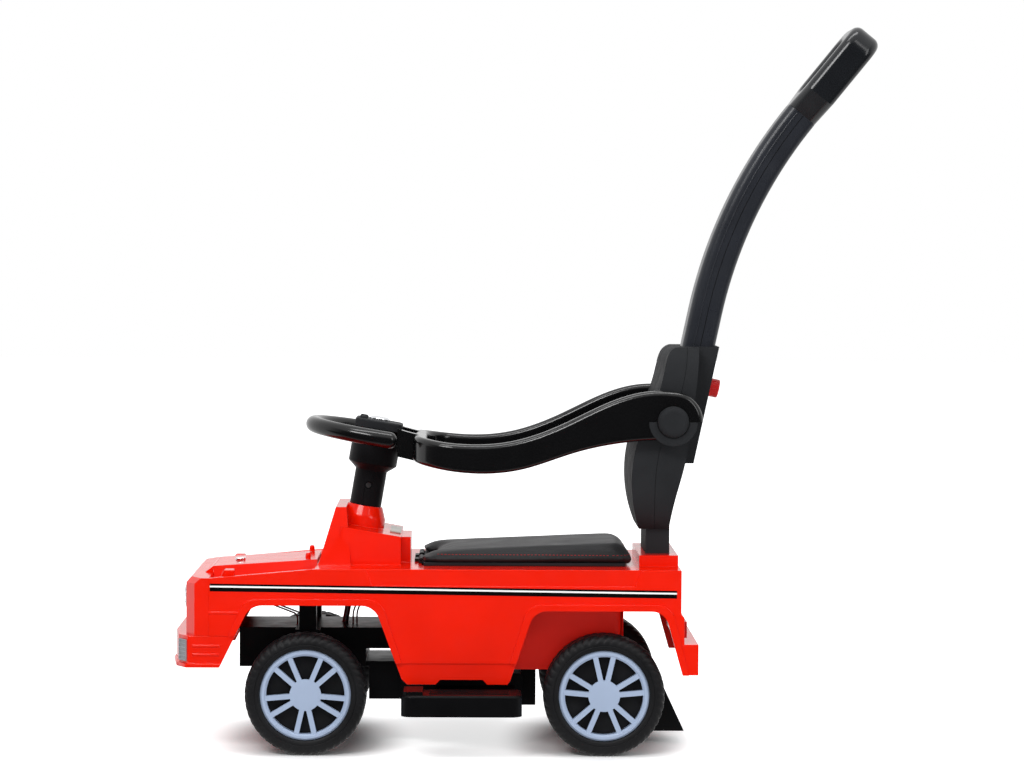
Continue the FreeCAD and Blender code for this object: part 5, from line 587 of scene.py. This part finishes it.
def seam_rays(low, high):
    """Origin, aim and run of each stitch on the pad's long sides, its rear and its rear corners."""
    level = SEAM_HEIGHT + STITCH_RISE
    along, inward = Vector((1, 0, 0)), Vector((0, 1, 0))
    rays = []
    for index in range(int((high.x - low.x - 2 * PAD_CORNER) / STITCH_SPACING) + 1):
        x = low.x + PAD_CORNER + index * STITCH_SPACING
        for side in (1, -1):
            rays.append((Vector((x, side * RAY_START_Y, level)), -side * inward, along))
    for index in range(int((high.y - low.y - 2 * PAD_CORNER) / STITCH_SPACING) + 1):
        y = low.y + PAD_CORNER + index * STITCH_SPACING
        rays.append((Vector((RAY_START_X, y, level)), -along, inward))
    for turn in range(1, CORNER_STITCHES + 1):
        bend = math.radians(turn * 90 / (CORNER_STITCHES + 1))
        for side in (1, -1):
            way = Vector((math.cos(bend), side * math.sin(bend), 0))
            hub = Vector((high.x - PAD_CORNER, side * (high.y - PAD_CORNER), level))
            rays.append((hub + way * RAY_CORNER_REACH, -way, Vector((-way.y, way.x, 0))))
    return rays


def make_stitching(piece, low, high):
    """Short raised red stitches along the seam, on the pad's own surface."""
    shape = piece.evaluated_get(bpy.context.evaluated_depsgraph_get())
    tree = BVHTree.FromPolygons([vertex.co.copy() for vertex in shape.data.vertices],
                                [list(face.vertices) for face in shape.data.polygons])
    size = Matrix.Diagonal((*STITCH_HALF_SIZE, 1))
    around, along = STITCH_SEGMENTS
    edit = bmesh.new()
    for origin, way, run in seam_rays(low, high):
        spot, normal = tree.ray_cast(origin, way)[:2]
        if spot is None:
            continue
        across = normal.cross(run).normalized()
        axes = Matrix((run, across, normal)).transposed().to_4x4()
        place = Matrix.Translation(spot + normal * STITCH_PROUD) @ axes @ size
        bmesh.ops.create_uvsphere(edit, u_segments=around, v_segments=along, radius=1, matrix=place)
    stitches = add_object("seat_stitching", mesh_from(edit, "seat_stitching"))
    stitches.data.shade_smooth()
    finish_piece(stitches, "seat", "stitch_red")


# Side stripes
STRIPE_ENDS = (-0.3995, 0.190)
STRIPE_HEIGHTS = (0.2135, 0.2065)
STRIPE_STEPS = 24
BLACK_EDGES = (-0.0048, 0.0048)
WHITE_EDGES = (0.0002, 0.0024)
FLANK_OUT = 0.001
DECAL_BACK = 0.0001
DECAL_FRONT = 0.0003


def flank():
    """Half of the body's width, which stands a little outside the fascia."""
    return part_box("front_fascia")[1].y + FLANK_OUT


def stripe_rows(edges):
    """Rows of (x, low z, high z) of a stripe that slants down to the rear."""
    rows = []
    for index in range(STRIPE_STEPS + 1):
        share = index / STRIPE_STEPS
        x = STRIPE_ENDS[0] + (STRIPE_ENDS[1] - STRIPE_ENDS[0]) * share
        middle = STRIPE_HEIGHTS[0] + (STRIPE_HEIGHTS[1] - STRIPE_HEIGHTS[0]) * share
        rows.append((x, middle + edges[0], middle + edges[1]))
    return rows


def ribbon(name, side, rows, material):
    """Thin flat decal on a side of the body."""
    half = flank()
    face = side * (half + DECAL_BACK)
    proud = side * (half + DECAL_FRONT)
    edit = bmesh.new()
    loops = []
    for x, low, high in rows:
        spots = [(x, face, low), (x, proud, low), (x, proud, high), (x, face, high)]
        loops.append([edit.verts.new(spot) for spot in spots])
    for first, second in zip(loops, loops[1:]):
        for index in range(4):
            after = (index + 1) % 4
            edit.faces.new((first[index], second[index], second[after], first[after]))
    edit.faces.new(loops[0])
    edit.faces.new(loops[-1])
    bmesh.ops.recalc_face_normals(edit, faces=edit.faces)
    finish_piece(add_object(name, mesh_from(edit, name)), "car", material)


def make_stripes():
    """Black band with a white pinstripe on it, on both sides."""
    half = flank()
    for side, label in ((-1, "left"), (1, "right")):
        ribbon("stripe_" + label, side, stripe_rows(BLACK_EDGES), "stripe_black")
        on_band = side * (half + DECAL_FRONT) / half
        ribbon("pinstripe_" + label, on_band, stripe_rows(WHITE_EDGES), "stripe_white")


# Handle
HANDLE_LEAN = math.radians(12)
HANDLE_TURN = math.radians(27)
HANDLE_RADIUS = 0.607
HANDLE_BEND_START = Vector((0.233, 0, 0.561))
HANDLE_STRAIGHT = 0.055
LINE_STEPS = 60
LINE_POINTS = 6
LINE_SINK = 0.0001
# Offset from the stem's centre line, width, rise and material
HANDLE_LINES = {
    # The bead shares the stem's lighter black with the painted sheen.
    "handle_bead_": (-0.0068, 0.0024, 0.0008, "stem_black_painted_sheen"),
    "handle_mould_line_": (0.0015, 0.0009, 0.0002, "seam_black"),
}


def handle_station(share):
    """A point of the stem's centre line above its sleeve and the way to its lower side."""
    run = share * (HANDLE_STRAIGHT + HANDLE_RADIUS * HANDLE_TURN) - HANDLE_STRAIGHT
    angle = HANDLE_LEAN + max(run, 0) / HANDLE_RADIUS
    inward = Vector((math.cos(angle), 0, -math.sin(angle)))
    along = Vector((math.sin(angle), 0, math.cos(angle)))
    hub = HANDLE_BEND_START + Vector((math.cos(HANDLE_LEAN), 0, -math.sin(HANDLE_LEAN))) * HANDLE_RADIUS
    return hub - inward * HANDLE_RADIUS + along * min(run, 0), inward


def handle_line(name, side, offset, width, rise, material):
    """Rounded bead along a side of the stem, at an offset from its centre line."""
    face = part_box("handle_stem")[1].y
    edit = bmesh.new()
    rows = []
    for step in range(LINE_STEPS + 1):
        spot, inward = handle_station(step / LINE_STEPS)
        row = []
        for index in range(LINE_POINTS + 1):
            bend = math.pi * index / LINE_POINTS
            across = spot + inward * (offset - math.cos(bend) * width / 2)
            out = side * (face - LINE_SINK + math.sin(bend) * rise)
            row.append(edit.verts.new((across.x, out, across.z)))
        rows.append(row)
    for first, second in zip(rows, rows[1:]):
        for index in range(LINE_POINTS):
            edit.faces.new((first[index], second[index], second[index + 1], first[index + 1]))
        edit.faces.new((first[-1], second[-1], second[0], first[0]))
    edit.faces.new(rows[0])
    edit.faces.new(rows[-1])
    bmesh.ops.recalc_face_normals(edit, faces=edit.faces)
    mesh = mesh_from(edit, name)
    mesh.shade_smooth()
    finish_piece(add_object(name, mesh), body_of["handle_stem"], material)


def make_handle_lines():
    """Raised bead and dark mould line along both sides of the stem."""
    for side, label in ((-1, "left"), (1, "right")):
        for start, row in HANDLE_LINES.items():
            handle_line(start + label, side, *row)


# Studio: in reflections the camera's side of the room is dim, so that near faces keep their colour
DIM_SIDE = 0.06
SOFT_SKY = (0.96, 0.98, 1, 1)
SOFT_SKY_STRENGTH = 0.42
SKY_BACK_REACH = (-0.7, 0.1)
SKY_TOP_REACH = (0.3, 0.75)
FLOOR_HALF = 14
FLOOR_GREY = (0.8, 0.8, 0.8, 1)
FLOOR_MIRROR_REACH = (-0.5, 0.0)
FRONT_AXLE_X = -0.279
REAR_AXLE_X = 0.099
# Round each wheel's contact the floor's glow fades out: a painted shadow, in which the car's real shadow
# shows.
GLOW_WITH_PAINTED_WHEEL_SHADOW = {"across": 0.4, "reach": (0.05, 0.14), "strength": (0.0, 0.70)}
FAR_GLOW = {"across": 1, "reach": (0.5, 1.6), "strength": (0.0, 0.3)}
WHITE = (1, 1, 1, 1)
# Place, target, size, power and whether reflections show it
LAMPS = {
    "key": ((-1.3, -2.6, 2.6), (0, 0, 0.4), (1.8, 0.7), 54, True),
    "low": ((0.2, -3.0, 0.35), (0, 0, 0.15), (2.4, 0.5), 9, False),
    "fill": ((2.2, -2.2, 1.6), (0, 0, 0.4), (0.9, 1.8), 18, True),
    "top": ((0.1, -0.3, 3.0), (0, 0, 0.3), (2.4, 0.6), 31, True),
}
CAMERA_PLACE = (-0.079, -4.040, 0.6405)
CAMERA_AIM = Vector((0.01515, 1, -0.04318))
CAMERA_ROLL = 0.0055
CAMERA_LENS = 109.1
CAMERA_SENSOR = 36


def join_values(tree, operation, first, second):
    node = tree.nodes.new("ShaderNodeMath")
    node.operation = operation
    tree.links.new(first, node.inputs[0])
    tree.links.new(second, node.inputs[1])
    return node.outputs["Value"]


def any_of(tree, path, names):
    """1 where any of these kinds of ray looks."""
    total = path.outputs[names[0]]
    for name in names[1:]:
        total = join_values(tree, "MAXIMUM", total, path.outputs[name])
    return total


def mix_shaders(tree, factor, first, second):
    mix = tree.nodes.new("ShaderNodeMixShader")
    tree.links.new(factor, mix.inputs["Fac"])
    tree.links.new(first, mix.inputs[1])
    tree.links.new(second, mix.inputs[2])
    return mix.outputs["Shader"]


def smooth_step(tree, value, reach, strength):
    return map_range(tree, value, reach, strength, "SMOOTHSTEP")


def split_place(tree, kind):
    place = tree.nodes.new("ShaderNodeTexCoord")
    parts = tree.nodes.new("ShaderNodeSeparateXYZ")
    tree.links.new(place.outputs[kind], parts.inputs["Vector"])
    return parts.outputs


def make_world():
    """White backdrop with a softer light of its own."""
    world = bpy.data.worlds.new("studio")
    scene.world = world
    world.use_nodes = True
    tree = world.node_tree
    seen = tree.nodes["Background"]
    seen.inputs["Color"].default_value = WHITE
    soft = tree.nodes.new("ShaderNodeBackground")
    soft.inputs["Color"].default_value = SOFT_SKY
    soft.inputs["Strength"].default_value = SOFT_SKY_STRENGTH
    path = tree.nodes.new("ShaderNodeLightPath")
    way = split_place(tree, "Generated")
    behind = smooth_step(tree, way["Y"], SKY_BACK_REACH, (DIM_SIDE, 1))
    above = smooth_step(tree, way["Z"], SKY_TOP_REACH, (DIM_SIDE, 1))
    bright = join_values(tree, "MAXIMUM", behind, above)
    plain = any_of(tree, path, ("Is Camera Ray", "Is Transmission Ray"))
    tree.links.new(join_values(tree, "MAXIMUM", plain, bright), seen.inputs["Strength"])
    direct = any_of(tree, path, ("Is Camera Ray", "Is Glossy Ray", "Is Transmission Ray"))
    sky = mix_shaders(tree, direct, soft.outputs["Background"], seen.outputs["Background"])
    tree.links.new(sky, tree.nodes["World Output"].inputs["Surface"])


def floor_fade(tree, centre_x, across, reach, strength):
    """Strength that changes with the distance from a place under the car."""
    place = tree.nodes.new("ShaderNodeTexCoord")
    scaled = tree.nodes.new("ShaderNodeMapping")
    scaled.inputs["Location"].default_value = (-centre_x, 0, 0)
    scaled.inputs["Scale"].default_value = (1, across, 1)
    length = tree.nodes.new("ShaderNodeVectorMath")
    length.operation = "LENGTH"
    tree.links.new(place.outputs["Object"], scaled.inputs["Vector"])
    tree.links.new(scaled.outputs["Vector"], length.inputs[0])
    return smooth_step(tree, length.outputs["Value"], reach, strength)


def floor_material():
    """Paper that glows white away from the wheels; round each wheel the glow fades out, a painted shadow in
    which the car's own shadow shows.
    """
    material = bpy.data.materials.new("studio_floor")
    material.use_nodes = True
    tree = material.node_tree
    tree.nodes.remove(tree.nodes["Principled BSDF"])
    paper = tree.nodes.new("ShaderNodeBsdfDiffuse")
    paper.inputs["Color"].default_value = FLOOR_GREY
    sheet = tree.nodes.new("ShaderNodeBsdfDiffuse")
    sheet.inputs["Color"].default_value = WHITE
    glow = tree.nodes.new("ShaderNodeEmission")
    front = floor_fade(tree, FRONT_AXLE_X, **GLOW_WITH_PAINTED_WHEEL_SHADOW)
    rear = floor_fade(tree, REAR_AXLE_X, **GLOW_WITH_PAINTED_WHEEL_SHADOW)
    far = floor_fade(tree, 0, **FAR_GLOW)
    # Glow that fades out round both wheels: a painted shadow on the floor.
    glow_with_painted_wheel_shadow = join_values(tree, "MINIMUM", front, rear)
    tree.links.new(join_values(tree, "ADD", glow_with_painted_wheel_shadow, far), glow.inputs["Strength"])
    lit = tree.nodes.new("ShaderNodeAddShader")
    tree.links.new(sheet.outputs["BSDF"], lit.inputs[0])
    tree.links.new(glow.outputs["Emission"], lit.inputs[1])
    mirrored = tree.nodes.new("ShaderNodeEmission")
    behind = smooth_step(tree, split_place(tree, "Object")["Y"], FLOOR_MIRROR_REACH, (DIM_SIDE, 1))
    tree.links.new(behind, mirrored.inputs["Strength"])
    path = tree.nodes.new("ShaderNodeLightPath")
    glossy = path.outputs["Is Glossy Ray"]
    other = mix_shaders(tree, glossy, paper.outputs["BSDF"], mirrored.outputs["Emission"])
    direct = any_of(tree, path, ("Is Camera Ray", "Is Transmission Ray"))
    surface = mix_shaders(tree, direct, other, lit.outputs["Shader"])
    tree.links.new(surface, tree.nodes["Material Output"].inputs["Surface"])
    return material


def make_floor():
    mesh = bpy.data.meshes.new("floor")
    corners = [(x * FLOOR_HALF, y * FLOOR_HALF, 0) for x, y in ((-1, -1), (1, -1), (1, 1), (-1, 1))]
    mesh.from_pydata(corners, [], [(0, 1, 2, 3)])
    floor = add_object("floor", mesh)
    floor.data.materials.append(floor_material())


def make_lamp(name, place, target, size, power, mirrored):
    data = bpy.data.lights.new(name, "AREA")
    data.shape = "RECTANGLE"
    data.size, data.size_y = size
    data.energy = power
    lamp = add_object(name, data)
    lamp.location = place
    lamp.visible_glossy = mirrored
    lamp.rotation_euler = (Vector(target) - Vector(place)).to_track_quat("-Z", "Y").to_euler()


def make_camera():
    """Long lens level with the top of the backrest, nearly square to the car's left side."""
    data = bpy.data.cameras.new("camera")
    data.sensor_width = CAMERA_SENSOR
    data.lens = CAMERA_LENS
    camera = add_object("camera", data)
    camera.location = CAMERA_PLACE
    roll = Quaternion((0, 0, 1), CAMERA_ROLL)
    camera.rotation_mode = "QUATERNION"
    camera.rotation_quaternion = CAMERA_AIM.to_track_quat("-Z", "Y") @ roll
    scene.camera = camera


def make_studio():
    make_world()
    make_floor()
    for name, row in LAMPS.items():
        make_lamp(name, *row)
    make_camera()
    scene.view_settings.view_transform = "Standard"


dress_nodes()
make_tyres()
make_cushion()
make_stripes()
make_handle_lines()
make_studio()
